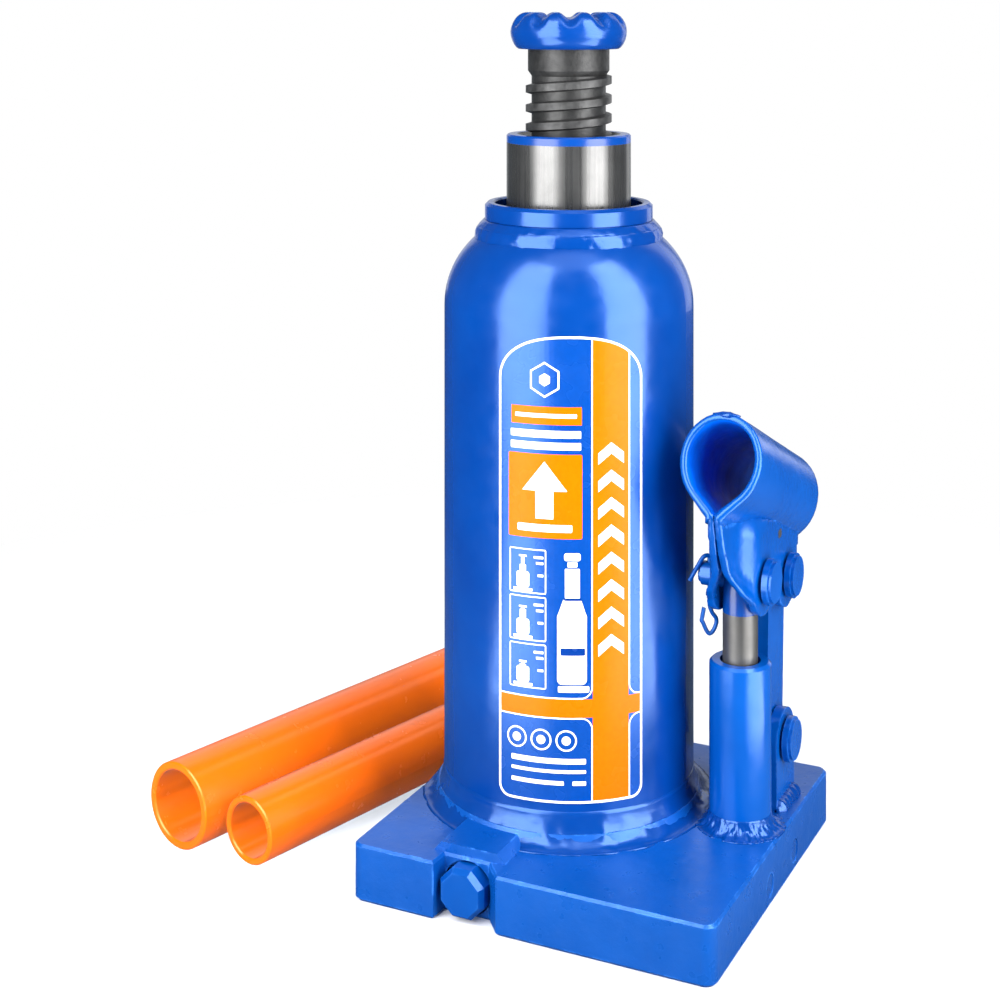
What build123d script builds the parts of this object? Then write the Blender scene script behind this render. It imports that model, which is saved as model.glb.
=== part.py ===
from build123d import *
from math import atan, cos, degrees, radians, sin
import os

# Hydraulic bottle jack, in millimetres. The origin is on the ram axis at ground level,
# +Z is up, -Y is the operator's side with the release valve, and the pump stands at +X.
# The ram stands a little raised and the extension screw is partly wound out.

# ---- driving dimensions ----
RUN = 0.05  # radial clearance of a running fit
SEAT = 0.02  # gap between pieces fixed in one another

BASE_LEFT, BASE_RIGHT, BASE_FRONT, BASE_BACK = -35.4, 58.0, -51.8, 42.0
BASE_T = 14.0
RECESS_FLOOR = 9.0

CYLINDER_IN, CYLINDER_OUT, CYLINDER_TOP = 18.0, 22.3, 146.0
SHELL_R, SHELL_WALL = 32.6, 2.6
SHOULDER_Z, SHOULDER_RISE, SHOULDER_IN = 141.0, 17.5, 7.9
COLLAR_TOP, COLLAR_R, COLLAR_IN = 167.8, 22.0, 19.4

RAM_R, RAM_TOP, RAM_FOOT = 16.3, 185.6, 28.0
PISTON_TOP, STEM_R = 45.0, 9.0
RAM_BORE_R, RELIEF_R = 11.5, 12.3
LAND_L = 19.0  # length of the threaded land at the mouth of the ram

THREAD_R, THREAD_ROOT, THREAD_PITCH = 11.3, 9.75, 5.0
THREAD_LOW, THREAD_L = 144.44, 55.4
NECK_R = 10.7
SADDLE_Z, SADDLE_T, SADDLE_R = 207.8, 9.7, 15.3
STOP_LOW, STOP_HIGH = 136.1, 138.6

PUMP_X, PUMP_R, PUMP_TOP = 47.0, 7.75, 55.2
PLUNGER_R, PLUNGER_FOOT = 4.4, 16.0
PIN_Z = 75.6  # plunger pin
LINK_TOP_Y, LINK_TOP_Z = 19.0, 71.9
LINK_LOW_Y, LINK_LOW_Z = 17.1, 30.3
PIN_R, HEAD_R, HEAD_T = 3.0, 5.7, 2.2
EAR_IN, EAR_OUT = 4.6, 6.5  # half the gap and half the width over the socket's ears
LINK_HALF_T, LINK_R = 3.6, 6.75
OPEN_PIVOT = 1.3  # play round the upper link pin, where the linkage closes

SOCKET_TILT = 22.5
SOCKET_IN, SOCKET_OUT, SOCKET_L = 8.8, 10.4, 54.0
MOUTH_Y, MOUTH_Z = -15.4, 108.8

VALVE_X, VALVE_Z, VALVE_SEAT_Y = -6.0, 6.9, -23.5
BALL_R = 2.4
PASSAGE_Y, PASSAGE_Z, PASSAGE_R, DRILL_R = 10.2, 5.2, 2.8, 1.4

TUBE_HEADING, TUBE_L, TUBE_GAP, TUBES_APART = 76.0, 185.0, 1.6, 0.8
SMALL_TUBE_R, SMALL_TUBE_WALL, SMALL_TUBE_BACK = 8.6, 1.7, 95.0
LARGE_TUBE_R, LARGE_TUBE_WALL, LARGE_TUBE_BACK = 11.1, 2.0, 101.0

os.makedirs("parts", exist_ok=True)


def turn(points, x=0.0, y=0.0, mode=Mode.ADD):
    """Revolve a closed (radius, height) outline about the upright line through (x, y)."""
    with BuildSketch(Plane(origin=(x, y, 0), x_dir=(1, 0, 0), z_dir=(0, -1, 0))) as outline:
        with BuildLine():
            Polyline(*points, close=True)
        make_face()
    revolve(outline.sketch, axis=Axis((x, y, 0), (0, 0, 1)), mode=mode)


def ring(r_in, r_out, low, high, x=0.0, y=0.0, mode=Mode.ADD):
    """A flat-ended ring, or a disc where r_in is 0, on the upright line through (x, y)."""
    turn([(r_in, low), (r_out, low), (r_out, high), (r_in, high)], x, y, mode)


def rod(start, end, radius, mode=Mode.ADD):
    """A round bar from start to end."""
    way = Vector(*end) - Vector(*start)
    with BuildSketch(Plane(origin=start, z_dir=way)) as disc:
        Circle(radius)
    extrude(disc.sketch, amount=way.length, mode=mode)


def tube(start, end, r_in, r_out):
    """A round tube from start to end."""
    rod(start, end, r_out)
    rod(start, end, r_in, Mode.SUBTRACT)


def coil(start, end, radius, wire, turns):
    """A helical spring from start to end, whose end turns touch nothing."""
    way = Vector(*end) - Vector(*start)
    with BuildLine() as path:
        Helix(pitch=way.length / turns, height=way.length, radius=radius, center=start, direction=way)
    with BuildSketch(Plane(origin=path.line @ 0, z_dir=path.line % 0)) as section:
        Circle(wire / 2)
    sweep(section.sketch, path=path.line, is_frenet=True)


def side(x):
    """The plane that faces +X at this x, with its own x along +Y and its own y along +Z."""
    return Plane(origin=(x, 0, 0), x_dir=(0, 1, 0), z_dir=(1, 0, 0))


def save(name, piece):
    """Label a finished piece and write it as its own node."""
    piece.label = name
    export_step(piece, f"parts/{name}.step")


# ---- base ----
NOTCH_LEFT, NOTCH_RIGHT, NOTCH_DEEP = -12.6, 4.0, 5.4
RIDGE_W, RIDGE_H = 15.0, 2.3
BOSS_R, BOSS_H = SHELL_R + 2.6, 3.2
VALVE_BORE_R, VALVE_POCKET_R = 4.1, 6.5
notch_back = BASE_FRONT + NOTCH_DEEP
pump_foot = 6.0
annulus = 26.5  # radius at which the passages open into the oil reservoir
with BuildPart() as base_plate:
    with BuildSketch():
        with BuildLine():
            Polyline(
                (BASE_LEFT, BASE_FRONT),
                (NOTCH_LEFT, BASE_FRONT),
                (NOTCH_LEFT + 0.4, notch_back),
                (NOTCH_RIGHT - 4.4, notch_back),
                (NOTCH_RIGHT, BASE_FRONT),
                (BASE_RIGHT, BASE_FRONT),
                (BASE_RIGHT, BASE_BACK),
                (BASE_LEFT, BASE_BACK),
                close=True,
            )
        make_face()
    extrude(amount=BASE_T)
    uprights = base_plate.edges().filter_by(Axis.Z)
    fillet(uprights.sort_by(lambda edge: edge.center().length)[-4:], radius=3)
    chamfer(base_plate.faces().sort_by(Axis.Z)[-1].outer_wire().edges(), length=0.6)
    chamfer(base_plate.faces().sort_by(Axis.Z)[0].outer_wire().edges(), length=0.8)
    # ridge over the valve bore, from the notch back to the boss
    with BuildSketch(Plane(origin=(VALVE_X, notch_back + 0.6, BASE_T), x_dir=(1, 0, 0), z_dir=(0, -1, 0))):
        with BuildLine():
            Polyline((-RIDGE_W / 2 - 3, -1), (RIDGE_W / 2 + 3, -1), (RIDGE_W / 2 + 2, 0),
                     (RIDGE_W / 2, RIDGE_H), (-RIDGE_W / 2, RIDGE_H), (-RIDGE_W / 2 - 2, 0), close=True)
        make_face()
    extrude(amount=notch_back + SHELL_R - 2)
    # boss round the foot of the reservoir
    turn([(SHELL_R - 6, BASE_T - 1), (BOSS_R + 1.2, BASE_T - 1), (BOSS_R + 1.2, BASE_T),
          (BOSS_R, BASE_T + 0.8), (SHELL_R + 1.4, BASE_T + BOSS_H), (SHELL_R - 6, BASE_T + BOSS_H)])
    ring(0, SHELL_R + SEAT, BASE_T, BASE_T + 9, mode=Mode.SUBTRACT)
    with BuildSketch():
        with Locations(((BASE_LEFT + BASE_RIGHT) / 2, (BASE_FRONT + BASE_BACK) / 2)):
            RectangleRounded(BASE_RIGHT - BASE_LEFT, BASE_BACK - BASE_FRONT, 2.8)
    extrude(amount=BASE_T + 9, mode=Mode.INTERSECT)
    # seats of the cylinder and of the pump cylinder
    ring(0, CYLINDER_OUT + SEAT, RECESS_FLOOR, BASE_T + 1, mode=Mode.SUBTRACT)
    ring(0, PUMP_R - 1 + SEAT, pump_foot - 1, BASE_T + 1, PUMP_X, 0, Mode.SUBTRACT)
    # release valve bore, its seat, and the return passages
    rod((VALVE_X, BASE_FRONT, VALVE_Z), (VALVE_X, notch_back + 1.5, VALVE_Z), VALVE_POCKET_R, Mode.SUBTRACT)
    rod((VALVE_X, BASE_FRONT, VALVE_Z), (VALVE_X, -34, VALVE_Z), VALVE_BORE_R, Mode.SUBTRACT)
    rod((VALVE_X, -35, VALVE_Z), (VALVE_X, VALVE_SEAT_Y, VALVE_Z), PASSAGE_R, Mode.SUBTRACT)
    rod((VALVE_X, -24, VALVE_Z), (VALVE_X, -12, VALVE_Z), DRILL_R, Mode.SUBTRACT)
    rod((VALVE_X, -12.5, VALVE_Z - 1), (VALVE_X, -12.5, BASE_T), DRILL_R, Mode.SUBTRACT)
    rod((VALVE_X, -annulus, VALVE_Z), (VALVE_X, -annulus, BASE_T + 1), DRILL_R, Mode.SUBTRACT)
    # suction passage in front of the pump and delivery passage behind it, both drilled from the right
    for y, inner, bored in ((-PASSAGE_Y, 24.5, 34.0), (PASSAGE_Y, 10.0, 20.0)):
        rod((bored, y, PASSAGE_Z), (BASE_RIGHT, y, PASSAGE_Z), PASSAGE_R, Mode.SUBTRACT)
        rod((inner - 0.5, y, PASSAGE_Z), (bored + 1, y, PASSAGE_Z), DRILL_R, Mode.SUBTRACT)
        rod((inner, y, PASSAGE_Z - 1), (inner, y, BASE_T + 1), DRILL_R, Mode.SUBTRACT)
        rod((PUMP_X - 2, 0, pump_foot), (PUMP_X - 2, y, PASSAGE_Z), DRILL_R, Mode.SUBTRACT)
    # overload valve bore in the back face
    rod((VALVE_X, 18, PASSAGE_Z), (VALVE_X, BASE_BACK, PASSAGE_Z), PASSAGE_R, Mode.SUBTRACT)
    rod((VALVE_X, 11, PASSAGE_Z), (VALVE_X, 19, PASSAGE_Z), DRILL_R, Mode.SUBTRACT)
    rod((VALVE_X, 12, PASSAGE_Z - 1), (VALVE_X, 12, BASE_T), DRILL_R, Mode.SUBTRACT)
    rod((VALVE_X, annulus, PASSAGE_Z), (VALVE_X, annulus, BASE_T + 1), DRILL_R, Mode.SUBTRACT)
save("base_plate", base_plate.part)

# ---- cylinder, reservoir and top cap ----
with BuildPart() as cylinder_gasket:
    ring(CYLINDER_IN + 0.5, CYLINDER_OUT, RECESS_FLOOR, RECESS_FLOOR + 1)
save("cylinder_gasket", cylinder_gasket.part)

with BuildPart() as cylinder:
    ring(CYLINDER_IN, CYLINDER_OUT, RECESS_FLOOR + 1, CYLINDER_TOP)
    chamfer(cylinder.edges().filter_by(GeomType.CIRCLE).group_by(Axis.Z)[-1], length=0.5)
save("cylinder", cylinder.part)

with BuildPart() as reservoir_gasket:
    ring(SHELL_R - SHELL_WALL, SHELL_R - 0.1, BASE_T, BASE_T + 1)
save("reservoir_gasket", reservoir_gasket.part)

# The shoulder leaves the wall upright and leans in until it meets the cap.
SHOULDER_TURN = 2 * degrees(atan(SHOULDER_IN / SHOULDER_RISE))
SHOULDER_R = SHOULDER_RISE / sin(radians(SHOULDER_TURN))
FILLER_HEADING, FILLER_Z, FILLER_R, FILLER_HEAD_R = 112.0, 126.0, 4.0, 5.6
shoulder_centre = (SHELL_R - SHOULDER_R, SHOULDER_Z)
filler_way = Vector(cos(radians(FILLER_HEADING)), sin(radians(FILLER_HEADING)), 0)
filler_base = Vector(0, 0, FILLER_Z)
with BuildPart() as reservoir:
    with BuildSketch(Plane.XZ):
        with BuildLine():
            outer = CenterArc(shoulder_centre, SHOULDER_R, 0, SHOULDER_TURN)
            inner = CenterArc(shoulder_centre, SHOULDER_R - SHELL_WALL, 0, SHOULDER_TURN)
            Line(outer @ 1, inner @ 1)
            Polyline(inner @ 0, (SHELL_R - SHELL_WALL, BASE_T + 1), (SHELL_R, BASE_T + 1), outer @ 0)
        make_face()
    revolve(axis=Axis.Z)
    rod(filler_base + filler_way * 20, filler_base + filler_way * 40, FILLER_R, Mode.SUBTRACT)
save("reservoir", reservoir.part)

with BuildPart() as filler_plug:
    rod(filler_base + filler_way * (SHELL_R - 4), filler_base + filler_way * (SHELL_R + 1), FILLER_R - SEAT)
    rod(filler_base + filler_way * (SHELL_R + 0.3), filler_base + filler_way * (SHELL_R + 2.2), FILLER_HEAD_R)
    chamfer(filler_plug.faces().sort_by(Axis(filler_base, filler_way))[-1].edges(), length=0.7)
save("filler_plug", filler_plug.part)

WIPER_OUT, ROD_SEAL_OUT = 18.6, 18.2
WIPER_Z, RECESS_Z, ROD_SEAL_Z, ROD_SEAL_H = 155.0, 159.2, 148.4, 3.4
WELD_RING_R, WELD_RING_Z = 24.0, 158.8
with BuildPart() as top_cap:
    turn([(RAM_R + RUN, 140), (CYLINDER_IN - RUN, 140), (CYLINDER_IN - RUN, CYLINDER_TOP + 0.1),
          (CYLINDER_OUT, CYLINDER_TOP + 0.1), (CYLINDER_OUT, WELD_RING_Z), (WELD_RING_R - 0.6, WELD_RING_Z),
          (WELD_RING_R, WELD_RING_Z + 0.6), (WELD_RING_R, WELD_RING_Z + 2.6), (COLLAR_R, WELD_RING_Z + 4.2),
          (COLLAR_R, COLLAR_TOP - 0.8), (COLLAR_R - 0.8, COLLAR_TOP), (COLLAR_IN + 0.4, COLLAR_TOP),
          (COLLAR_IN, COLLAR_TOP - 0.4), (COLLAR_IN, RECESS_Z), (WIPER_OUT, RECESS_Z), (WIPER_OUT, WIPER_Z),
          (RAM_R + RUN, WIPER_Z), (RAM_R + RUN, ROD_SEAL_Z + ROD_SEAL_H),
          (ROD_SEAL_OUT, ROD_SEAL_Z + ROD_SEAL_H), (ROD_SEAL_OUT, ROD_SEAL_Z), (RAM_R + RUN, ROD_SEAL_Z)])
save("top_cap", top_cap.part)

with BuildPart() as ram_wiper:
    turn([(RAM_R + 0.03, WIPER_Z), (WIPER_OUT - SEAT, WIPER_Z), (WIPER_OUT - SEAT, RECESS_Z),
          (RAM_R + 1.4, RECESS_Z), (RAM_R + 0.6, RECESS_Z + 1.2), (RAM_R + 0.03, RECESS_Z + 1.2)])
save("ram_wiper", ram_wiper.part)

with BuildPart() as ram_seal:
    ring(RAM_R + 0.03, ROD_SEAL_OUT - SEAT, ROD_SEAL_Z + SEAT, ROD_SEAL_Z + ROD_SEAL_H - SEAT)
save("ram_seal", ram_seal.part)

# ---- ram and piston ----
LIP = 0.8
MOUTH_R, MOUTH_DEPTH = 13.7, 2.2
BORE_FLOOR = 111.0
with BuildPart() as ram:
    turn([(0, RAM_FOOT), (STEM_R - 0.5, RAM_FOOT), (STEM_R, RAM_FOOT + 0.5), (STEM_R, PISTON_TOP),
          (RAM_R, PISTON_TOP), (RAM_R, RAM_TOP - 0.4), (RAM_R - 0.4, RAM_TOP), (MOUTH_R, RAM_TOP),
          (RAM_BORE_R, RAM_TOP - MOUTH_DEPTH), (RAM_BORE_R, RAM_TOP - LAND_L),
          (RELIEF_R, RAM_TOP - LAND_L - LIP), (RELIEF_R, BORE_FLOOR), (0, BORE_FLOOR - 5)])
save("ram", ram.part)

PISTON_T, CUP_LIP_Z = 9.0, 29.6
piston_low = PISTON_TOP - PISTON_T
with BuildPart() as piston:
    ring(STEM_R + SEAT, CYLINDER_IN - RUN, piston_low, PISTON_TOP - SEAT)
    chamfer(piston.edges().filter_by(GeomType.CIRCLE).group_by(Axis.Z)[-1], length=0.6)
save("piston", piston.part)

with BuildPart() as piston_cup:
    turn([(STEM_R + SEAT, 31), (15.2, 31), (16.4, CUP_LIP_Z), (CYLINDER_IN - 0.03, CUP_LIP_Z),
          (CYLINDER_IN - 0.03, piston_low - 0.8), (17.2, piston_low - SEAT),
          (STEM_R + SEAT, piston_low - SEAT)])
save("piston_cup", piston_cup.part)

with BuildPart() as piston_nut:
    with BuildSketch(Plane.XY.offset(RAM_FOOT + 0.2)):
        RegularPolygon(12.5, 6, major_radius=False)
        Circle(STEM_R + SEAT, mode=Mode.SUBTRACT)
    extrude(amount=2.7)
save("piston_nut", piston_nut.part)

# ---- extension screw ----
SPIGOT_R, SPIGOT_TOP = 8.0, SADDLE_Z + 6
tooth_h = THREAD_R - THREAD_ROOT
TAIL_R, GROOVE_R, TAIL_FOOT = 7.0, 6.2, 133.6
CLIP_LOW, CLIP_T, CLIP_R = 134.6, 1.4, 8.6
with BuildPart() as extension_screw:
    turn([(0, TAIL_FOOT), (TAIL_R - 0.4, TAIL_FOOT), (TAIL_R, TAIL_FOOT + 0.4), (TAIL_R, CLIP_LOW),
          (GROOVE_R, CLIP_LOW), (GROOVE_R, CLIP_LOW + CLIP_T), (TAIL_R, CLIP_LOW + CLIP_T),
          (TAIL_R, STOP_HIGH + 0.1), (THREAD_ROOT, STOP_HIGH + 0.1), (THREAD_ROOT, 200.8), (NECK_R, 202.2),
          (NECK_R, SADDLE_Z), (SPIGOT_R, SADDLE_Z), (SPIGOT_R, SPIGOT_TOP), (0, SPIGOT_TOP)])
    with BuildLine() as thread_path:
        Helix(pitch=THREAD_PITCH, height=THREAD_L, radius=THREAD_ROOT, center=(0, 0, THREAD_LOW))
    tooth_plane = Plane(origin=thread_path.line @ 0, x_dir=(1, 0, 0), z_dir=thread_path.line % 0)
    with BuildSketch(tooth_plane) as tooth:
        with BuildLine():
            Polyline((-1, -1.4), (0, -1.4), (tooth_h, -0.92), (tooth_h, 0.92), (0, 1.4), (-1, 1.4),
                     close=True)
        make_face()
    sweep(tooth.sketch, path=thread_path.line, is_frenet=True)
save("extension_screw", extension_screw.part)

LOBES, GROOVE_HALF_W, GROOVE_TOP, GROOVE_DEPTH = 10, 4.0, 3.0, 2.2
DISH = 1.4
with BuildPart() as saddle:
    with BuildSketch(Plane.XZ):
        with BuildLine():
            flank = Spline((13.9, SADDLE_Z + 0.5), (SADDLE_R, SADDLE_Z + 4.9), (12.9, SADDLE_Z + SADDLE_T),
                           tangents=((0.9, 1), (-1, 0.35)))
            Polyline(flank @ 0, (13.3, SADDLE_Z), (SPIGOT_R + SEAT, SADDLE_Z),
                     (SPIGOT_R + SEAT, SPIGOT_TOP + 0.1), (0, SPIGOT_TOP + 0.1),
                     (0, SADDLE_Z + SADDLE_T - DISH), (6.4, SADDLE_Z + SADDLE_T - DISH),
                     (7.4, SADDLE_Z + SADDLE_T), flank @ 1)
        make_face()
    revolve(axis=Axis.Z)
    # grooves across the rim, which leave a gripping crown of lobes
    for turn_by in range(LOBES):
        heading = turn_by * 360 / LOBES + 8
        outward = Vector(cos(radians(heading)), sin(radians(heading)), 0)
        across = Vector(-outward.Y, outward.X, 0)
        start = outward * 6 + Vector(0, 0, SADDLE_Z + SADDLE_T)
        with BuildSketch(Plane(origin=start, x_dir=across, z_dir=outward - Vector(0, 0, 0.12))):
            with BuildLine():
                Polyline((GROOVE_HALF_W, GROOVE_TOP), (-GROOVE_HALF_W, GROOVE_TOP), (0, -GROOVE_DEPTH),
                         close=True)
            make_face()
        extrude(amount=20, mode=Mode.SUBTRACT)
save("saddle", saddle.part)

with BuildPart() as screw_stop_ring:
    ring(TAIL_R + RUN, RELIEF_R - 0.1, STOP_LOW, STOP_HIGH)
save("screw_stop_ring", screw_stop_ring.part)

with BuildPart() as screw_clip:
    ring(GROOVE_R + SEAT, CLIP_R, CLIP_LOW + SEAT, CLIP_LOW + CLIP_T - SEAT)
    with Locations((CLIP_R, 0, CLIP_LOW + CLIP_T / 2)):
        Box(8, 3, 4, mode=Mode.SUBTRACT)
save("screw_clip", screw_clip.part)

# ---- pump ----
PUMP_BORE = PLUNGER_R + RUN
PACKING_Z, PACKING_H, PACKING_R, MOUTH_BORE = 44.0, 4.4, 6.2, 5.1
with BuildPart() as pump_gasket:
    ring(PUMP_BORE, PUMP_R - 1.1, pump_foot - 1, pump_foot, PUMP_X)
save("pump_gasket", pump_gasket.part)

with BuildPart() as pump_cylinder:
    turn([(PUMP_BORE, pump_foot), (PUMP_R - 1, pump_foot), (PUMP_R - 1, BASE_T + 0.1), (PUMP_R, BASE_T + 0.1),
          (PUMP_R, PUMP_TOP - 0.7), (PUMP_R - 0.7, PUMP_TOP), (MOUTH_BORE, PUMP_TOP),
          (MOUTH_BORE, PACKING_Z + PACKING_H), (PACKING_R, PACKING_Z + PACKING_H), (PACKING_R, PACKING_Z),
          (PUMP_BORE, PACKING_Z)], PUMP_X)
save("pump_cylinder", pump_cylinder.part)

with BuildPart() as plunger_seal:
    ring(PLUNGER_R + 0.03, PACKING_R - SEAT, PACKING_Z + SEAT, PACKING_Z + 3.2, PUMP_X)
save("plunger_seal", plunger_seal.part)

with BuildPart() as plunger_backup_ring:
    ring(PLUNGER_R + 0.04, PACKING_R - SEAT, PACKING_Z + 3.24, PACKING_Z + PACKING_H - SEAT, PUMP_X)
save("plunger_backup_ring", plunger_backup_ring.part)

PLUNGER_TOP = PIN_Z + 5.6
with BuildPart() as pump_plunger:
    turn([(0, PLUNGER_FOOT), (PLUNGER_R - 0.5, PLUNGER_FOOT), (PLUNGER_R, PLUNGER_FOOT + 0.5),
          (PLUNGER_R, PLUNGER_TOP - 1.6), (PLUNGER_R - 1.6, PLUNGER_TOP), (0, PLUNGER_TOP)], PUMP_X)
    rod((PUMP_X - 9, 0, PIN_Z), (PUMP_X + 9, 0, PIN_Z), PIN_R + RUN, Mode.SUBTRACT)
save("pump_plunger", pump_plunger.part)

# ---- link and its lug ----
LUG_IN, LUG_OUT, LUG_R = 4.0, 6.5, 7.6
with BuildPart() as link_lug:
    with BuildSketch(side(PUMP_X - LUG_OUT)):
        with Locations((LINK_LOW_Y, LINK_LOW_Z)):
            Circle(LUG_R)
        with Locations((LINK_LOW_Y, (LINK_LOW_Z + BASE_T) / 2)):
            Rectangle(2 * LUG_R, LINK_LOW_Z - BASE_T)
    extrude(amount=2 * LUG_OUT)
    with Locations((PUMP_X, LINK_LOW_Y, BASE_T + 3 + 20)):
        Box(2 * LUG_IN, 4 * LUG_R, 40, mode=Mode.SUBTRACT)
    rod((PUMP_X - 9, LINK_LOW_Y, LINK_LOW_Z), (PUMP_X + 9, LINK_LOW_Y, LINK_LOW_Z), PIN_R + SEAT,
        Mode.SUBTRACT)
save("link_lug", link_lug.part)

with BuildPart() as link_bar:
    with BuildSketch(side(PUMP_X - LINK_HALF_T)):
        with Locations((LINK_LOW_Y, LINK_LOW_Z), (LINK_TOP_Y, LINK_TOP_Z)):
            Circle(LINK_R)
        make_hull()
        with Locations((LINK_LOW_Y, LINK_LOW_Z)):
            Circle(PIN_R + RUN, mode=Mode.SUBTRACT)
        with Locations((LINK_TOP_Y, LINK_TOP_Z)):
            Circle(PIN_R + OPEN_PIVOT, mode=Mode.SUBTRACT)
    extrude(amount=2 * LINK_HALF_T)
save("link_bar", link_bar.part)

# ---- pins and their cotters ----
PIN_TAIL, TAIL_LOSS = 10.4, 0.7
COTTER_X = PUMP_X - 8.1
COTTER_HOLE, COTTER_WIRE = 0.85, 1.1
HEAD_GAP = 0.7
EYE_SPREAD = Vector(1.5, 1.0, 0)


def headed_pin(y, z):
    """A pin along X through (y, z), cross-drilled at its tail, with a flat head clear of the ears."""
    head_x = PUMP_X + EAR_OUT + HEAD_GAP
    rod((PUMP_X - PIN_TAIL, y, z), (PUMP_X - PIN_TAIL + TAIL_LOSS, y, z), PIN_R - TAIL_LOSS)
    rod((PUMP_X - PIN_TAIL + TAIL_LOSS, y, z), (head_x + HEAD_T / 2, y, z), PIN_R)
    rod((head_x, y, z), (head_x + HEAD_T - TAIL_LOSS, y, z), HEAD_R)
    rod((head_x, y, z), (head_x + HEAD_T, y, z), HEAD_R - TAIL_LOSS)
    rod((COTTER_X, y, z - 5), (COTTER_X, y, z + 5), COTTER_HOLE, Mode.SUBTRACT)


def cotter(y, z, spread):
    """A cotter: a leg bent down to the left, a stem through the pin, and an eye spread to both sides."""
    stem = Vector(COTTER_X, y, z)
    lower = stem + Vector(0, 0, -8)
    with BuildLine() as wire:
        leg = Line(stem + Vector(-3.8, -4.4, -1.2), stem + Vector(-1.7, -1.9, 3.4))
        Spline(leg @ 1, stem + Vector(-0.6, -0.7, 4.6), stem + Vector(0, 0, 3.6),
               tangents=(leg % 1, (0, 0, -1)))
        Line(stem + Vector(0, 0, 3.6), lower)
        Spline(lower, lower + spread + Vector(0, 0, -4.2), lower + Vector(0, 0, -7.2),
               lower - spread + Vector(0, 0, -4.2), lower - spread * 0.8 + Vector(0, 0, -0.6),
               tangents=(spread * 0.1 - Vector(0, 0, 1), spread * 0.1 + Vector(0, 0, 1)))
    with BuildSketch(Plane(origin=wire.line @ 0, z_dir=wire.line % 0)) as section:
        Circle(COTTER_WIRE / 2)
    sweep(section.sketch, path=wire.line)


with BuildPart() as plunger_pin:
    headed_pin(0, PIN_Z)
save("plunger_pin", plunger_pin.part)

with BuildPart() as upper_link_pin:
    headed_pin(LINK_TOP_Y, LINK_TOP_Z)
save("upper_link_pin", upper_link_pin.part)

with BuildPart() as lower_link_pin:
    headed_pin(LINK_LOW_Y, LINK_LOW_Z)
save("lower_link_pin", lower_link_pin.part)

with BuildPart() as plunger_cotter:
    cotter(0, PIN_Z, EYE_SPREAD)
save("plunger_cotter", plunger_cotter.part)

with BuildPart() as upper_link_cotter:
    cotter(LINK_TOP_Y, LINK_TOP_Z, EYE_SPREAD)
save("upper_link_cotter", upper_link_cotter.part)

with BuildPart() as lower_link_cotter:
    cotter(LINK_LOW_Y, LINK_LOW_Z, Vector(0.5, 1.7, 0))
save("lower_link_cotter", lower_link_cotter.part)

# ---- handle socket ----
# Two pressed sheets make a round socket above, lie together in a neck at the front, and
# part round the plunger head into two ears that carry both pins.
NECK_HALF, EAR_BACK = 2.0, 29.5
tilt = radians(SOCKET_TILT)
socket_way = Vector(0, cos(tilt), -sin(tilt))
socket_mouth = Vector(PUMP_X, MOUTH_Y, MOUTH_Z)
pin_centre = Vector(PUMP_X, 0, PIN_Z)
mouth_plane = Plane(origin=socket_mouth, x_dir=(1, 0, 0), z_dir=-socket_way)
with BuildPart() as handle_socket:
    with BuildSketch(Plane.XY.offset(58)):
        with Locations((PUMP_X, 0)):
            Polygon((-NECK_HALF, -24), (NECK_HALF, -24), (NECK_HALF, -9.5), (EAR_OUT, -3),
                    (EAR_OUT, EAR_BACK), (-EAR_OUT, EAR_BACK), (-EAR_OUT, -3), (-NECK_HALF, -9.5), align=None)
    extrude(amount=50)
    with BuildSketch(side(PUMP_X - 20)):
        with BuildLine():
            Polyline((MOUTH_Y, MOUTH_Z), (-21.0, 95.2), (-17.2, 86.0), (-12.9, 77.2), (-6.5, 70.2), (0, 67.4),
                     (19, 63.8), (24, 66), (EAR_BACK - 2, 76), (EAR_BACK, 84), (EAR_BACK, 87.5), close=True)
        make_face()
        with Locations((0, PIN_Z)):
            Circle(8.4)
        with Locations((LINK_TOP_Y, LINK_TOP_Z)):
            Circle(8.2)
    extrude(amount=40, mode=Mode.INTERSECT)
    with BuildSketch(mouth_plane):
        Circle(SOCKET_OUT)
        Polygon((-8.1, 0), (-8.1, -7.2), (-6.6, -9.4), (-NECK_HALF, -14.2), (-NECK_HALF, -15.2),
                (NECK_HALF, -15.2), (NECK_HALF, -14.2), (6.6, -9.4), (8.1, -7.2), (8.1, 0), align=None)
    extrude(amount=-SOCKET_L)
    with BuildSketch(mouth_plane):
        Circle(SOCKET_IN)
        Polygon((-5.5, -4), (-5.5, -6.8), (0, -13.0), (5.5, -6.8), (5.5, -4), align=None)
    extrude(amount=-SOCKET_L, mode=Mode.SUBTRACT)
    with BuildSketch(Plane.XY.offset(55)):
        with Locations((PUMP_X, 0)):
            Polygon((0, -8.4), (EAR_IN, -2.2), (EAR_IN, EAR_BACK + 1), (-EAR_IN, EAR_BACK + 1),
                    (-EAR_IN, -2.2), align=None)
    extrude(amount=40, mode=Mode.SUBTRACT)
    # room for the plunger, which swings in the socket as the handle is worked
    for swing in range(-28, 17, 11):
        lean = Vector(0, sin(radians(swing)), -cos(radians(swing)))
        rod(pin_centre - lean * 6.6, pin_centre + lean * 14, PLUNGER_R + 0.25, Mode.SUBTRACT)
    for y, z in ((0, PIN_Z), (LINK_TOP_Y, LINK_TOP_Z)):
        rod((PUMP_X - 9, y, z), (PUMP_X + 9, y, z), PIN_R + SEAT, Mode.SUBTRACT)
save("handle_socket", handle_socket.part)

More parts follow.
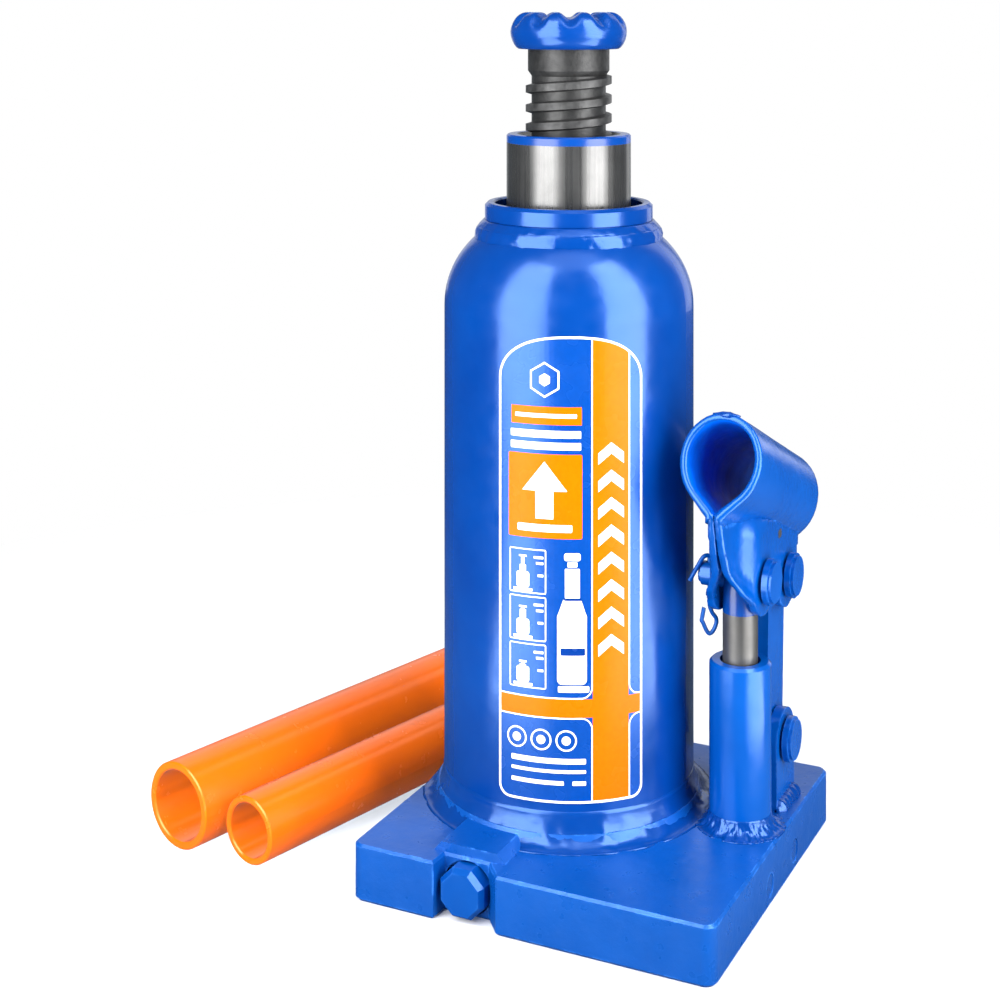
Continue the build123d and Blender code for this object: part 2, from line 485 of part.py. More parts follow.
# ---- release valve ----
HEAD_FRONT, VALVE_HEAD_R, NOSE_R = BASE_FRONT + 0.9, 5.9, 4.9
VALVE_SHANK_R, TIP_R, TIP_START = 4.0, 2.7, -34.6
SEAL_Y, SEAL_L = -41.5, 2.2
tip_end = VALVE_SEAT_Y - BALL_R - 2.08
with BuildPart() as release_valve:
    rod((VALVE_X, notch_back + 1.3, VALVE_Z), (VALVE_X, TIP_START, VALVE_Z), VALVE_SHANK_R)
    rod((VALVE_X, TIP_START - 1, VALVE_Z), (VALVE_X, tip_end - SEAT, VALVE_Z), TIP_R)
    with BuildSketch(Plane(origin=(VALVE_X, HEAD_FRONT, VALVE_Z), x_dir=(1, 0, 0), z_dir=(0, -1, 0))) as nose:
        RegularPolygon(NOSE_R, 8, major_radius=False, rotation=22.5)
    extrude(nose.sketch, amount=-1.4, taper=-35)
    octagon_plane = Plane(origin=(VALVE_X, HEAD_FRONT + 1.4, VALVE_Z), x_dir=(1, 0, 0), z_dir=(0, -1, 0))
    with BuildSketch(octagon_plane) as octagon:
        RegularPolygon(VALVE_HEAD_R, 8, major_radius=False, rotation=22.5)
    extrude(octagon.sketch, amount=-(notch_back - HEAD_FRONT))
    with BuildSketch(Plane(origin=(VALVE_X, SEAL_Y, VALVE_Z), z_dir=(0, 1, 0))) as groove:
        Circle(VALVE_SHANK_R + 1)
        Circle(VALVE_SHANK_R - 1, mode=Mode.SUBTRACT)
    extrude(groove.sketch, amount=SEAL_L, mode=Mode.SUBTRACT)
save("release_valve", release_valve.part)

with BuildPart() as valve_seal:
    with BuildSketch(Plane(origin=(VALVE_X, SEAL_Y + SEAT, VALVE_Z), z_dir=(0, 1, 0))):
        Circle(VALVE_SHANK_R + 0.07)
        Circle(VALVE_SHANK_R - 1 + SEAT, mode=Mode.SUBTRACT)
    extrude(amount=SEAL_L - 2 * SEAT)
save("valve_seal", valve_seal.part)


def ball(x, y, z):
    """A check ball, standing just off its seat."""
    with Locations((x, y, z)):
        Sphere(BALL_R)


seat_stand = (BALL_R**2 - DRILL_R**2) ** 0.5 + 0.03  # ball centre to the plane of its seat
with BuildPart() as release_ball:
    ball(VALVE_X, VALVE_SEAT_Y - seat_stand, VALVE_Z)
save("release_ball", release_ball.part)

# ---- suction, delivery and overload valves inside the base ----
WIRE, COIL_R, COIL_TURNS = 0.6, 1.9, 5
LIFT_ROOM = 1.2  # from a ball to the middle of its spring's first turn, so that the ball can lift
SUCTION_SEAT_X, DELIVERY_SEAT_X, DELIVERY_STEP_X = 34.0, 38.0, 20.0
PLUG_L = 5.0
suction_ball_x = SUCTION_SEAT_X + seat_stand
with BuildPart() as suction_ball:
    ball(suction_ball_x, -PASSAGE_Y, PASSAGE_Z)
save("suction_ball", suction_ball.part)

with BuildPart() as suction_spring:
    coil((suction_ball_x + BALL_R + LIFT_ROOM, -PASSAGE_Y, PASSAGE_Z),
         (BASE_RIGHT - PLUG_L - WIRE, -PASSAGE_Y, PASSAGE_Z), COIL_R, WIRE, COIL_TURNS)
save("suction_spring", suction_spring.part)

with BuildPart() as delivery_seat:
    tube((DELIVERY_SEAT_X, PASSAGE_Y, PASSAGE_Z), (DELIVERY_SEAT_X + 3, PASSAGE_Y, PASSAGE_Z), DRILL_R,
         PASSAGE_R - SEAT)
save("delivery_seat", delivery_seat.part)

delivery_ball_x = DELIVERY_SEAT_X - seat_stand
with BuildPart() as delivery_ball:
    ball(delivery_ball_x, PASSAGE_Y, PASSAGE_Z)
save("delivery_ball", delivery_ball.part)

with BuildPart() as delivery_spring:
    coil((DELIVERY_STEP_X + WIRE, PASSAGE_Y, PASSAGE_Z),
         (delivery_ball_x - BALL_R - LIFT_ROOM, PASSAGE_Y, PASSAGE_Z), COIL_R, WIRE, COIL_TURNS)
save("delivery_spring", delivery_spring.part)

with BuildPart() as passage_plugs:
    for y in (-PASSAGE_Y, PASSAGE_Y):
        rod((BASE_RIGHT - PLUG_L, y, PASSAGE_Z), (BASE_RIGHT - 0.2, y, PASSAGE_Z), PASSAGE_R - SEAT)
save("passage_plugs", passage_plugs.part)

OVERLOAD_SEAT_Y, OVERLOAD_SCREW_L = 18.0, 7.0
overload_ball_y = OVERLOAD_SEAT_Y + seat_stand
with BuildPart() as overload_ball:
    ball(VALVE_X, overload_ball_y, PASSAGE_Z)
save("overload_ball", overload_ball.part)

with BuildPart() as overload_spring:
    coil((VALVE_X, overload_ball_y + BALL_R + LIFT_ROOM + 0.2, PASSAGE_Z),
         (VALVE_X, BASE_BACK - OVERLOAD_SCREW_L - WIRE, PASSAGE_Z), COIL_R, 0.9, 6)
save("overload_spring", overload_spring.part)

with BuildPart() as overload_screw:
    rod((VALVE_X, BASE_BACK - OVERLOAD_SCREW_L, PASSAGE_Z), (VALVE_X, BASE_BACK - 1, PASSAGE_Z),
        PASSAGE_R - SEAT)
    with Locations((VALVE_X, BASE_BACK - 1, PASSAGE_Z)):
        Box(8, 2.4, 0.9, mode=Mode.SUBTRACT)
save("overload_screw", overload_screw.part)

with BuildPart() as suction_filter:
    ring(0, 1.35, BASE_T - 1.6, BASE_T - 0.4, 24.5, -PASSAGE_Y)
save("suction_filter", suction_filter.part)

# ---- the two handle tubes, laid on the ground beside the jack ----
heading = Vector(cos(radians(TUBE_HEADING)), sin(radians(TUBE_HEADING)), 0)
leftward = Vector(-sin(radians(TUBE_HEADING)), cos(radians(TUBE_HEADING)), 0)
corner = Vector(BASE_LEFT, BASE_BACK, 0)
small_aside = SMALL_TUBE_R + TUBE_GAP
large_aside = small_aside + SMALL_TUBE_R + LARGE_TUBE_R + TUBES_APART
small_start = corner + leftward * small_aside - heading * SMALL_TUBE_BACK + Vector(0, 0, SMALL_TUBE_R)
large_start = corner + leftward * large_aside - heading * LARGE_TUBE_BACK + Vector(0, 0, LARGE_TUBE_R)
with BuildPart() as handle_tube_small:
    tube(small_start, small_start + heading * TUBE_L, SMALL_TUBE_R - SMALL_TUBE_WALL, SMALL_TUBE_R)
    chamfer(handle_tube_small.edges().filter_by(GeomType.CIRCLE), length=0.35)
save("handle_tube_small", handle_tube_small.part)

with BuildPart() as handle_tube_large:
    tube(large_start, large_start + heading * TUBE_L, LARGE_TUBE_R - LARGE_TUBE_WALL, LARGE_TUBE_R)
    chamfer(handle_tube_large.edges().filter_by(GeomType.CIRCLE), length=0.35)
save("handle_tube_large", handle_tube_large.part)
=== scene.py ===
import math

import bmesh
import bpy
from mathutils import Matrix, Vector, noise


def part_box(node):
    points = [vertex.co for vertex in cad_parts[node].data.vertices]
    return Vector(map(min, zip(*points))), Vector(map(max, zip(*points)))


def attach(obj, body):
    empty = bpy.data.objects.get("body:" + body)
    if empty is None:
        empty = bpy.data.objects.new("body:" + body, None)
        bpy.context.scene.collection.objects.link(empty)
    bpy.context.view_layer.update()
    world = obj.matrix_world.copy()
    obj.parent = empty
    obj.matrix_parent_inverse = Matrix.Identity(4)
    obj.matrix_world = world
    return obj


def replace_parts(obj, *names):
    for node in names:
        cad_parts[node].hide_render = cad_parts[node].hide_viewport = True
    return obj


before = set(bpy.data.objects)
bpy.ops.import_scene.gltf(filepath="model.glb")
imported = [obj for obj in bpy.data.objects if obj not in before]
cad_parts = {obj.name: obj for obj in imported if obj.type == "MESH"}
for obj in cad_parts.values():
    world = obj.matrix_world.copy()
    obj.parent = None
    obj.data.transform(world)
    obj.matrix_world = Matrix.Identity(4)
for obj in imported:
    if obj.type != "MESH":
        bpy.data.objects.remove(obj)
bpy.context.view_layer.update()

# Bottle jack in metres, +Z up, origin on the ram axis at ground level. The pump stands at +X
# and the release valve faces -Y. Sizes that the frame doesn't hold are given here in millimetres.
MM = 0.001

# ---- places read from the frame ----
shell_lo, shell_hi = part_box("reservoir")
SHELL_R = (shell_hi[0] - shell_lo[0]) / 2
SHELL_TOP = shell_hi[2]
RAM_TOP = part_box("ram")[1][2]
pump_lo, pump_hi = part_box("pump_cylinder")
PUMP = Vector(((pump_lo[0] + pump_hi[0]) / 2, (pump_lo[1] + pump_hi[1]) / 2, 0))
PUMP_R = (pump_hi[0] - pump_lo[0]) / 2
lug_lo, lug_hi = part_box("link_lug")
BASE_TOP = lug_lo[2]
base_lo, base_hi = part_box("base_plate")
cap_lo, cap_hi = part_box("top_cap")
CAP_R = (cap_hi[0] - cap_lo[0]) / 2


# ---- node materials ----
class Shader:
    """A node tree around one Principled shader, with short calls for the nodes it needs."""

    def __init__(self, name, **values):
        self.mat = bpy.data.materials.new(name)
        self.mat.use_nodes = True
        self.tree = self.mat.node_tree
        self.bsdf = self.tree.nodes["Principled BSDF"]
        self.place = self.add("ShaderNodeTexCoord").outputs["Object"]
        for key, value in values.items():
            self.set(key, value)

    def add(self, kind, **props):
        node = self.tree.nodes.new(kind)
        for key, value in props.items():
            setattr(node, key, value)
        return node

    def join(self, source, target):
        if hasattr(source, "links"):
            self.tree.links.new(source, target)
        else:
            target.default_value = source
        return target

    def set(self, key, value):
        self.join(value, self.bsdf.inputs[key.replace("_", " ")])

    def math(self, what, a, b=0.0, c=0.0):
        node = self.add("ShaderNodeMath", operation=what)
        for slot, value in zip(node.inputs, (a, b, c)):
            self.join(value, slot)
        return node.outputs[0]

    def stretch(self, scale):
        node = self.add("ShaderNodeMapping")
        self.join(self.place, node.inputs["Vector"])
        node.inputs["Scale"].default_value = scale
        return node.outputs[0]

    def noise(self, scale, detail=2.0, rough=0.5, where=None):
        node = self.add("ShaderNodeTexNoise")
        self.join(where or self.place, node.inputs["Vector"])
        node.inputs["Scale"].default_value = scale
        node.inputs["Detail"].default_value = detail
        node.inputs["Roughness"].default_value = rough
        return node.outputs["Fac"]

    def cells(self, scale):
        node = self.add("ShaderNodeTexVoronoi")
        self.join(self.place, node.inputs["Vector"])
        node.inputs["Scale"].default_value = scale
        return node.outputs["Distance"]

    def remap(self, value, low, high, to_low=0.0, to_high=1.0):
        node = self.add("ShaderNodeMapRange", clamp=True)
        for slot, number in zip(node.inputs, (value, low, high, to_low, to_high)):
            self.join(number, slot)
        return node.outputs[0]

    def mix(self, amount, a, b):
        node = self.add("ShaderNodeMix", data_type="RGBA")
        self.join(amount, node.inputs[0])
        for value, slot in ((a, node.inputs[6]), (b, node.inputs[7])):
            self.join(value if hasattr(value, "links") else (*value, 1.0), slot)
        return node.outputs[2]

    def axis(self, which):
        node = self.add("ShaderNodeSeparateXYZ")
        self.join(self.place, node.inputs[0])
        return node.outputs[which]

    def radius(self, centre=(0.0, 0.0, 0.0)):
        """Distance from the upright line through centre."""
        node = self.add("ShaderNodeVectorMath", operation="SUBTRACT")
        self.join(self.place, node.inputs[0])
        node.inputs[1].default_value = centre
        flat = self.add("ShaderNodeVectorMath", operation="MULTIPLY")
        self.join(node.outputs[0], flat.inputs[0])
        flat.inputs[1].default_value = (1, 1, 0)
        size = self.add("ShaderNodeVectorMath", operation="LENGTH")
        self.join(flat.outputs[0], size.inputs[0])
        return size.outputs["Value"]

    def edges(self, width):
        """1 on sharp outer edges and 0 on flat faces."""
        bevel = self.add("ShaderNodeBevel", samples=6)
        bevel.inputs["Radius"].default_value = width
        geometry = self.add("ShaderNodeNewGeometry")
        dot = self.add("ShaderNodeVectorMath", operation="DOT_PRODUCT")
        self.join(bevel.outputs[0], dot.inputs[0])
        self.join(geometry.outputs["Normal"], dot.inputs[1])
        return self.remap(dot.outputs["Value"], 0.995, 0.88)

    def bump(self, *layers):
        """Stack (height socket, strength, distance in metres) layers of bump."""
        last = None
        for height, strength, distance in layers:
            node = self.add("ShaderNodeBump")
            node.inputs["Strength"].default_value = strength
            node.inputs["Distance"].default_value = distance
            self.join(height, node.inputs["Height"])
            if last is not None:
                self.join(last, node.inputs["Normal"])
            last = node.outputs[0]
        self.set("Normal", last)


BLUE = (0.0, 0.036, 0.21)
BLUE_DEEP = (0.0, 0.026, 0.17)
# pale blue for dust nibs, and for edges where it is partly wear and partly a painted highlight
BLUE_PALE = (0.03, 0.17, 0.60)
BLUE_BRIGHT = (0.0, 0.062, 0.31)
BLUE_SHEEN = (0.28, 0.50, 1.0)
ORANGE = (1.0, 0.15, 0.0)
ORANGE_SHEEN = (1.0, 0.62, 0.35)
WHITE = (0.86, 0.88, 0.90)
GLOSS_IOR, FILM_IOR = 1.85, 1.3  # the enamel's, raised for strong highlights, and the label film's


def enamel(name, base=BLUE, deep=BLUE_DEEP, sheen=BLUE_SHEEN, rough=0.2, cast=0.0, edge_wear_and_highlight=0.0, peel=1.0):
    """Sprayed gloss enamel: uneven film, orange peel, dust nibs, and pale edges that are partly wear and
    partly a painted highlight.
    """
    s = Shader(name, IOR=GLOSS_IOR)
    s.set("Specular Tint", (*sheen, 1.0))
    film = s.remap(s.noise(38, 4, 0.6), 0.3, 0.7)
    colour = s.mix(film, deep, base)
    nibs = s.remap(s.cells(330), 0.035, 0.015)
    nibs = s.math("MULTIPLY", nibs, s.remap(s.noise(45, 1), 0.55, 0.62))
    # pale blue along sharp edges: partly worn paint, partly a painted highlight where edges catch light
    if edge_wear_and_highlight:
        worn_and_highlit_edges = s.math("MULTIPLY", s.edges(0.9 * MM), s.remap(s.noise(160, 4, 0.7), 0.5, 0.56))
        worn_and_highlit_edges = s.math("MULTIPLY", worn_and_highlit_edges, edge_wear_and_highlight)
        colour = s.mix(worn_and_highlit_edges, colour, BLUE_PALE)
    s.set("Base Color", s.mix(s.math("MULTIPLY", nibs, 0.35), colour, BLUE_PALE))
    s.set("Roughness", s.remap(s.noise(210, 3), 0.3, 0.7, rough - 0.04, rough + 0.06))
    layers = [(s.noise(1100, 2), 0.10 * peel, 0.1 * MM), (s.noise(190, 2), 0.10 * peel, 0.25 * MM),
              (nibs, 0.5, 0.12 * MM)]
    if cast:
        layers.append((s.noise(420, 5, 0.65), 0.35 * cast, 0.5 * MM))
        layers.append((s.noise(60, 3), 0.35 * cast, 1.5 * MM))
    s.bump(*layers)
    return s


def steel(name, colour, rough, grain=(60, 60, 5000), grain_depth=0.12, metallic=1.0):
    """Machined steel with grain drawn out along the cut, faint stains and fine pits."""
    s = Shader(name, Metallic=metallic)
    stain = s.remap(s.noise(90, 4, 0.6), 0.35, 0.75)
    s.set("Base Color", s.mix(stain, colour, tuple(c * 0.72 for c in colour)))
    lines = s.noise(1.0, 2, 0.6, s.stretch(grain))
    s.set("Roughness", s.remap(lines, 0.3, 0.7, rough - 0.05, rough + 0.1))
    s.bump((lines, grain_depth, 0.06 * MM), (s.noise(1500, 2), 0.1, 0.05 * MM))
    return s


def painted_above(metal, height, edge_noise, centre=(0.0, 0.0, 0.0), inner=None):
    """Cover a steel shader with blue enamel above a height, and outside a radius where one is given."""
    s = metal
    wave = s.math("MULTIPLY_ADD", s.noise(220, 2), edge_noise, -edge_noise / 2)
    mask = s.remap(s.math("ADD", s.axis(2), wave), height - 0.05 * MM, height + 0.05 * MM)
    if inner:
        mask = s.math("MULTIPLY", mask, s.remap(s.radius(centre), inner - 0.1 * MM, inner + 0.1 * MM))
    s.set("Base Color", s.mix(mask, s.bsdf.inputs["Base Color"].links[0].from_socket, BLUE))
    for key, cover in (("Metallic", 0.0), ("Roughness", 0.22)):
        socket = s.bsdf.inputs[key]
        under = socket.links[0].from_socket if socket.links else socket.default_value
        node = s.add("ShaderNodeMix", data_type="FLOAT")
        s.join(mask, node.inputs[0])
        s.join(under, node.inputs[2])
        s.join(cover, node.inputs[3])
        s.set(key, node.outputs[0])
    return s


def dark_oxide(name):
    """Rough forged and rolled steel with black scale, rubbed brighter on the thread's crests."""
    s = Shader(name, Metallic=0.3)
    scale = s.remap(s.noise(420, 5, 0.7), 0.3, 0.75)
    colour = s.mix(scale, (0.010, 0.010, 0.0105), (0.030, 0.030, 0.0295))
    crest = s.math("MULTIPLY", s.remap(s.radius(), 11.15 * MM, 11.3 * MM), s.remap(s.noise(300, 4), 0.4, 0.6))
    s.set("Base Color", s.mix(s.math("MULTIPLY", crest, 0.5), colour, (0.075, 0.075, 0.075)))
    s.set("Roughness", s.remap(s.noise(700, 3), 0.3, 0.7, 0.34, 0.5))
    s.bump((s.noise(1900, 3, 0.6), 0.5, 0.12 * MM), (s.noise(500, 3), 0.3, 0.2 * MM))
    return s


def rubber(name):
    s = Shader(name, Roughness=0.62)
    s.set("Base Color", s.mix(s.noise(300, 3), (0.012, 0.012, 0.013), (0.03, 0.03, 0.032)))
    s.bump((s.noise(1500, 2), 0.3, 0.08 * MM))
    return s


def plain_metal(name, colour):
    return steel(name, colour, 0.3, (900, 900, 900), 0.1)


def printed(name, colour, ior=FILM_IOR, sheen=ORANGE_SHEEN):
    """Printed label film: even colour with a faint screen grain and a satin face."""
    s = Shader(name, IOR=ior)
    s.set("Specular Tint", (*sheen, 1.0))
    shade = tuple(c * 0.93 for c in colour)
    s.set("Base Color", s.mix(s.remap(s.noise(900, 2), 0.35, 0.65), shade, colour))
    s.set("Roughness", s.remap(s.noise(160, 2), 0.3, 0.7, 0.22, 0.30))
    s.bump((s.noise(1400, 2), 0.05, 0.05 * MM))
    return s


blue = enamel("blue_enamel").mat
blue_pump = enamel("blue_pump_enamel", BLUE_BRIGHT, (0.0, 0.05, 0.26)).mat
blue_cast = enamel("blue_cast_enamel", BLUE_BRIGHT, (0.0, 0.052, 0.27), cast=0.6, edge_wear_and_highlight=1.0, rough=0.3).mat
blue_small = enamel("blue_small_parts", BLUE_BRIGHT, (0.0, 0.045, 0.24), cast=0.15, edge_wear_and_highlight=0.35).mat
blue_weld = enamel("blue_weld", cast=0.5, rough=0.16).mat
orange = enamel("orange_enamel", ORANGE, (0.92, 0.13, 0.0), ORANGE_SHEEN, 0.22, peel=0.8).mat
# the ram's top is painted this far down and from this radius outwards
RAM_PAINT_DEPTH, RAM_PAINT_INNER = 2.2 * MM, 13.6 * MM
PLUNGER_PAINT_FROM = 67.2 * MM
ground_bare = steel("ground_steel", (0.13, 0.129, 0.127), 0.26, (900, 900, 12), 0.02, 0.85)
ground = painted_above(ground_bare, RAM_TOP - RAM_PAINT_DEPTH, 0.1 * MM, inner=RAM_PAINT_INNER).mat
plunger_bare = steel("plunger_steel", (0.13, 0.126, 0.12), 0.42, (700, 700, 90), 0.12, 0.8)
plunger_steel = painted_above(plunger_bare, PLUNGER_PAINT_FROM, 0.5 * MM).mat
bare = steel("bare_steel", (0.45, 0.44, 0.43), 0.3, (800, 800, 800)).mat
oxide = dark_oxide("black_oxide").mat
black_rubber = rubber("black_rubber").mat
nylon = printed("white_nylon", (0.75, 0.75, 0.72)).mat
copper = plain_metal("copper", (0.62, 0.30, 0.16)).mat
bronze = plain_metal("bronze_gauze", (0.5, 0.34, 0.16)).mat
film_blue = printed("label_blue", (0.0, 0.042, 0.25), GLOSS_IOR, BLUE_SHEEN).mat
film_white = printed("label_white", WHITE).mat
film_orange = printed("label_orange", (0.86, 0.115, 0.0)).mat
film_dark = printed("label_dark_blue", (0.0, 0.025, 0.18), GLOSS_IOR, BLUE_SHEEN).mat

FINISH = {
    "base_plate": blue_cast,
    "extension_screw": oxide,
    "ram": ground,
    "pump_cylinder": blue_pump,
    "pump_plunger": plunger_steel,
    "pump_gasket": copper,
    "suction_filter": bronze,
    "plunger_backup_ring": nylon,
    "handle_tube_small": orange,
    "handle_tube_large": orange,
}
for node in ("reservoir", "top_cap"):
    FINISH[node] = blue
for node in ("link_lug", "link_bar", "handle_socket", "plunger_pin", "upper_link_pin", "lower_link_pin",
             "plunger_cotter", "upper_link_cotter", "lower_link_cotter", "saddle", "release_valve",
             "passage_plugs", "overload_screw"):
    FINISH[node] = blue_small
for node in ("ram_wiper", "ram_seal", "piston_cup", "plunger_seal", "valve_seal", "filler_plug",
             "cylinder_gasket", "reservoir_gasket"):
    FINISH[node] = black_rubber


def object_of(node):
    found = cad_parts[node]
    return found if isinstance(found, bpy.types.Object) else bpy.data.objects[node]


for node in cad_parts:
    obj = object_of(node)
    material = FINISH.get(node, bare)
    if not obj.material_slots:
        obj.data.materials.append(material)
    for slot in obj.material_slots:
        slot.material = material


# the tubes lie beside the jack, so their colour is kept out of its reflections and bounced light
for node in ("handle_tube_small", "handle_tube_large"):
    object_of(node).visible_glossy = False
    object_of(node).visible_diffuse = False


# ---- mesh helpers ----
def piece(name, bm, body, material, shade_smooth=True):
    """Turn a bmesh into an object, give it its finish and let it ride on a body."""
    bm.normal_update()
    mesh = bpy.data.meshes.new(name)
    bm.to_mesh(mesh)
    bm.free()
    mesh.materials.append(material)
    for polygon in mesh.polygons:
        polygon.use_smooth = shade_smooth
    obj = bpy.data.objects.new(name, mesh)
    bpy.context.scene.collection.objects.link(obj)
    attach(obj, body)
    return obj


def sweep(sections):
    """Skin a list of equal rings of points and cap both ends."""
    bm = bmesh.new()
    rings = [[bm.verts.new(p) for p in ring] for ring in sections]
    for a, b in zip(rings, rings[1:]):
        for j in range(len(a)):
            k = (j + 1) % len(a)
            bm.faces.new((a[j], a[k], b[k], b[j]))
    bm.faces.new(list(reversed(rings[0])))
    bm.faces.new(rings[-1])
    bmesh.ops.recalc_face_normals(bm, faces=bm.faces)
    return bm


RIPPLE, RIPPLE_PITCH = 0.18, 2.2 * MM
BEAD_SIDES = 14


def bead(name, path, up, width, height, body, material, seed):
    """A weld bead: a lumpy ridge along a path, with its overlapping puddles and faded ends."""
    up = up.normalized()
    sections, travelled = [], 0.0
    count = len(path)
    for i, point in enumerate(path):
        ahead, behind = path[min(i + 1, count - 1)], path[max(i - 1, 0)]
        tangent = (ahead - behind).normalized()
        travelled += (point - behind).length
        across = tangent.cross(up).normalized()
        puddle = RIPPLE * (0.5 + 0.5 * math.cos(2 * math.pi * travelled / RIPPLE_PITCH))
        lump = noise.noise(point * 260 + Vector((seed, seed * 2.3, 0)))
        wide = width * (1 + 0.22 * lump + 0.3 * puddle)
        high = height * (1 + 0.3 * noise.noise(point * 330 + Vector((0, seed, seed))) + puddle)
        fade = min(1.0, 0.25 + min(i, count - 1 - i) * 0.25)
        ring = []
        for j in range(BEAD_SIDES):
            angle = 2 * math.pi * j / BEAD_SIDES
            sideways = across * math.cos(angle) * wide * fade / 2
            ring.append(point + sideways + up * math.sin(angle) * high * fade)
        sections.append(ring)
    return piece(name, sweep(sections), body, material)


# ---- welds ----
def skirt(name, centre, profile, material, rough, count=240, seed=0.0, keep_in=None):
    """A turned skin round an upright line, whose (radius, height) profile is roughened by noise."""
    bm = bmesh.new()
    grid = []
    steps = len(profile)
    for i in range(count):
        angle = 2 * math.pi * i / count
        column = []
        for j, (r, z) in enumerate(profile):
            probe = Vector((math.cos(angle) * 9 + seed, math.sin(angle) * 9, z / MM * 0.5))
            swell = noise.noise(probe) + 0.5 * noise.noise(probe * 2.7)
            inside = math.sin(math.pi * j / (steps - 1)) ** 0.5
            r_here, z_here = r + rough * swell * inside, z + rough * 0.6 * swell * inside
            x, y = centre[0] + r_here * math.cos(angle), centre[1] + r_here * math.sin(angle)
            if keep_in:
                x = min(max(x, keep_in[0][0]), keep_in[1][0])
                y = min(max(y, keep_in[0][1]), keep_in[1][1])
            column.append(bm.verts.new((x, y, z_here)))
        grid.append(column)
    for i in range(count):
        a, b = grid[i], grid[(i + 1) % count]
        for j in range(steps):
            k = (j + 1) % steps
            bm.faces.new((a[j], b[j], b[k], a[k]))
    bmesh.ops.recalc_face_normals(bm, faces=bm.faces)
    return piece(name, bm, "root", material)


def concave(r_in, r_out, low, high, steps=12):
    """A hollow fillet from (r_in, high) to (r_out, low), closed along the wall behind it."""
    points = []
    for i in range(steps + 1):
        t = math.pi / 2 * i / steps
        points.append((r_out - (r_out - r_in) * math.sin(t), high - (high - low) * math.cos(t)))
    points.reverse()
    return [(r_in, high)] + points[1:-1] + [(r_out, low), (r_in - 0.3 * MM, low), (r_in - 0.3 * MM, high)]


def foot_weld(radius, spread, height):
    """The fillet round an upright tube's foot on the base, its spread and height in mm."""
    return concave(radius + 0.05 * MM, radius + spread * MM, BASE_TOP + 0.02 * MM, BASE_TOP + height * MM)


EDGE = 0.7 * MM
inside_base = ((base_lo[0] + EDGE, base_lo[1] + EDGE), (base_hi[0] - EDGE, base_hi[1] - EDGE))
skirt("weld_reservoir_foot", (0, 0), foot_weld(SHELL_R, 5.6, 8.2), blue, 0.28 * MM, 260, 3.0, inside_base)
skirt("weld_pump_foot", PUMP, foot_weld(PUMP_R, 3.6, 3.8), blue_weld, 0.5 * MM, 150, 8.0)
# reach beyond the cap's radius and height above the shell's top, in mm
CAP_WELD = ((-2.1, 5.1), (-1.5, 4.5), (-0.5, 3.5), (0.25, 2.5), (0.55, 1.4), (0.6, 0.4), (0.8, -0.5),
            (0.2, -0.9), (-1.2, 0.5))
cap_profile = [(CAP_R + reach * MM, SHELL_TOP + rise * MM) for reach, rise in CAP_WELD]
skirt("weld_top_cap", (0, 0), cap_profile, blue_weld, 0.22 * MM, 240, 5.0)
LUG_STEPS = 30
for side, x, outward, seed in (("left", lug_lo[0], -1, 11), ("right", lug_hi[0], 1, 17)):
    run = [Vector((x, lug_lo[1] + (lug_hi[1] - lug_lo[1]) * t / LUG_STEPS, BASE_TOP + 0.3 * MM))
           for t in range(LUG_STEPS + 1)]
    bead("weld_lug_" + side, run, Vector((outward, 0, 1)), 4.4 * MM, 1.9 * MM, "root", blue_weld, seed)

# ---- saddle: a fat rolled rim whose crown is cut into smooth lobes ----
saddle_lo, saddle_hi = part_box("saddle")
SADDLE_TOP = saddle_hi[2]
SADDLE_R = (saddle_hi[0] - saddle_lo[0]) / 2
SADDLE_LOBES, FIRST_GROOVE = 10, math.radians(8)
GROOVE_DEPTH, GROOVE_HALF = 1.75, 3.2  # mm
# outward from the centre of the dish, over the rim and back in underneath: share of radius, drop in mm
RIM = ((0.0, 1.4), (0.2, 1.4), (0.38, 1.38), (0.43, 1.2), (0.48, 0.5), (0.52, 0.08), (0.57, 0.0), (0.63, 0.0),
       (0.69, 0.0), (0.74, 0.05), (0.79, 0.22), (0.84, 0.6), (0.89, 1.2), (0.93, 1.95), (0.965, 2.9),
       (0.99, 4.0), (1.0, 5.1), (0.995, 6.2), (0.975, 7.3), (0.94, 8.4), (0.90, 9.2), (0.86, 9.65),
       (0.80, 9.7),
       (0.62, 9.7))


def smooth(value, low, high):
    t = min(max((value - low) / (high - low), 0.0), 1.0)
    return t * t * (3 - 2 * t)


def saddle_mesh(count=360):
    bm = bmesh.new()
    columns = []
    for i in range(count):
        angle = 2 * math.pi * i / count
        step = 2 * math.pi / SADDLE_LOBES
        off = (angle - FIRST_GROOVE + step / 2) % step - step / 2
        column = []
        for share, drop in RIM[1:]:
            r = share * SADDLE_R
            z = SADDLE_TOP - drop * MM
            across = abs(r * math.sin(off)) / MM
            in_groove = 1 - smooth(across, 0.0, GROOVE_HALF)
            on_crown = smooth(share, 0.40, 0.55) * (1 - smooth(drop, 0.6, 5.0))
            cut = GROOVE_DEPTH * in_groove * on_crown
            r -= 0.15 * cut * MM * smooth(share, 0.8, 0.95)
            lump = 0.10 * MM * noise.noise(Vector((math.cos(angle) * 4, math.sin(angle) * 4, drop * 0.4)))
            r += lump * smooth(share, 0.75, 0.9)
            column.append(bm.verts.new((r * math.cos(angle), r * math.sin(angle), z - cut * MM)))
        columns.append(column)
    hub = bm.verts.new((0, 0, SADDLE_TOP - RIM[0][1] * MM))
    for i in range(count):
        a, b = columns[i], columns[(i + 1) % count]
        bm.faces.new((hub, a[0], b[0]))
        for j in range(len(a) - 1):
            bm.faces.new((a[j], a[j + 1], b[j + 1], b[j]))
    bm.faces.new([column[-1] for column in columns])
    bmesh.ops.recalc_face_normals(bm, faces=bm.faces)
    return bm


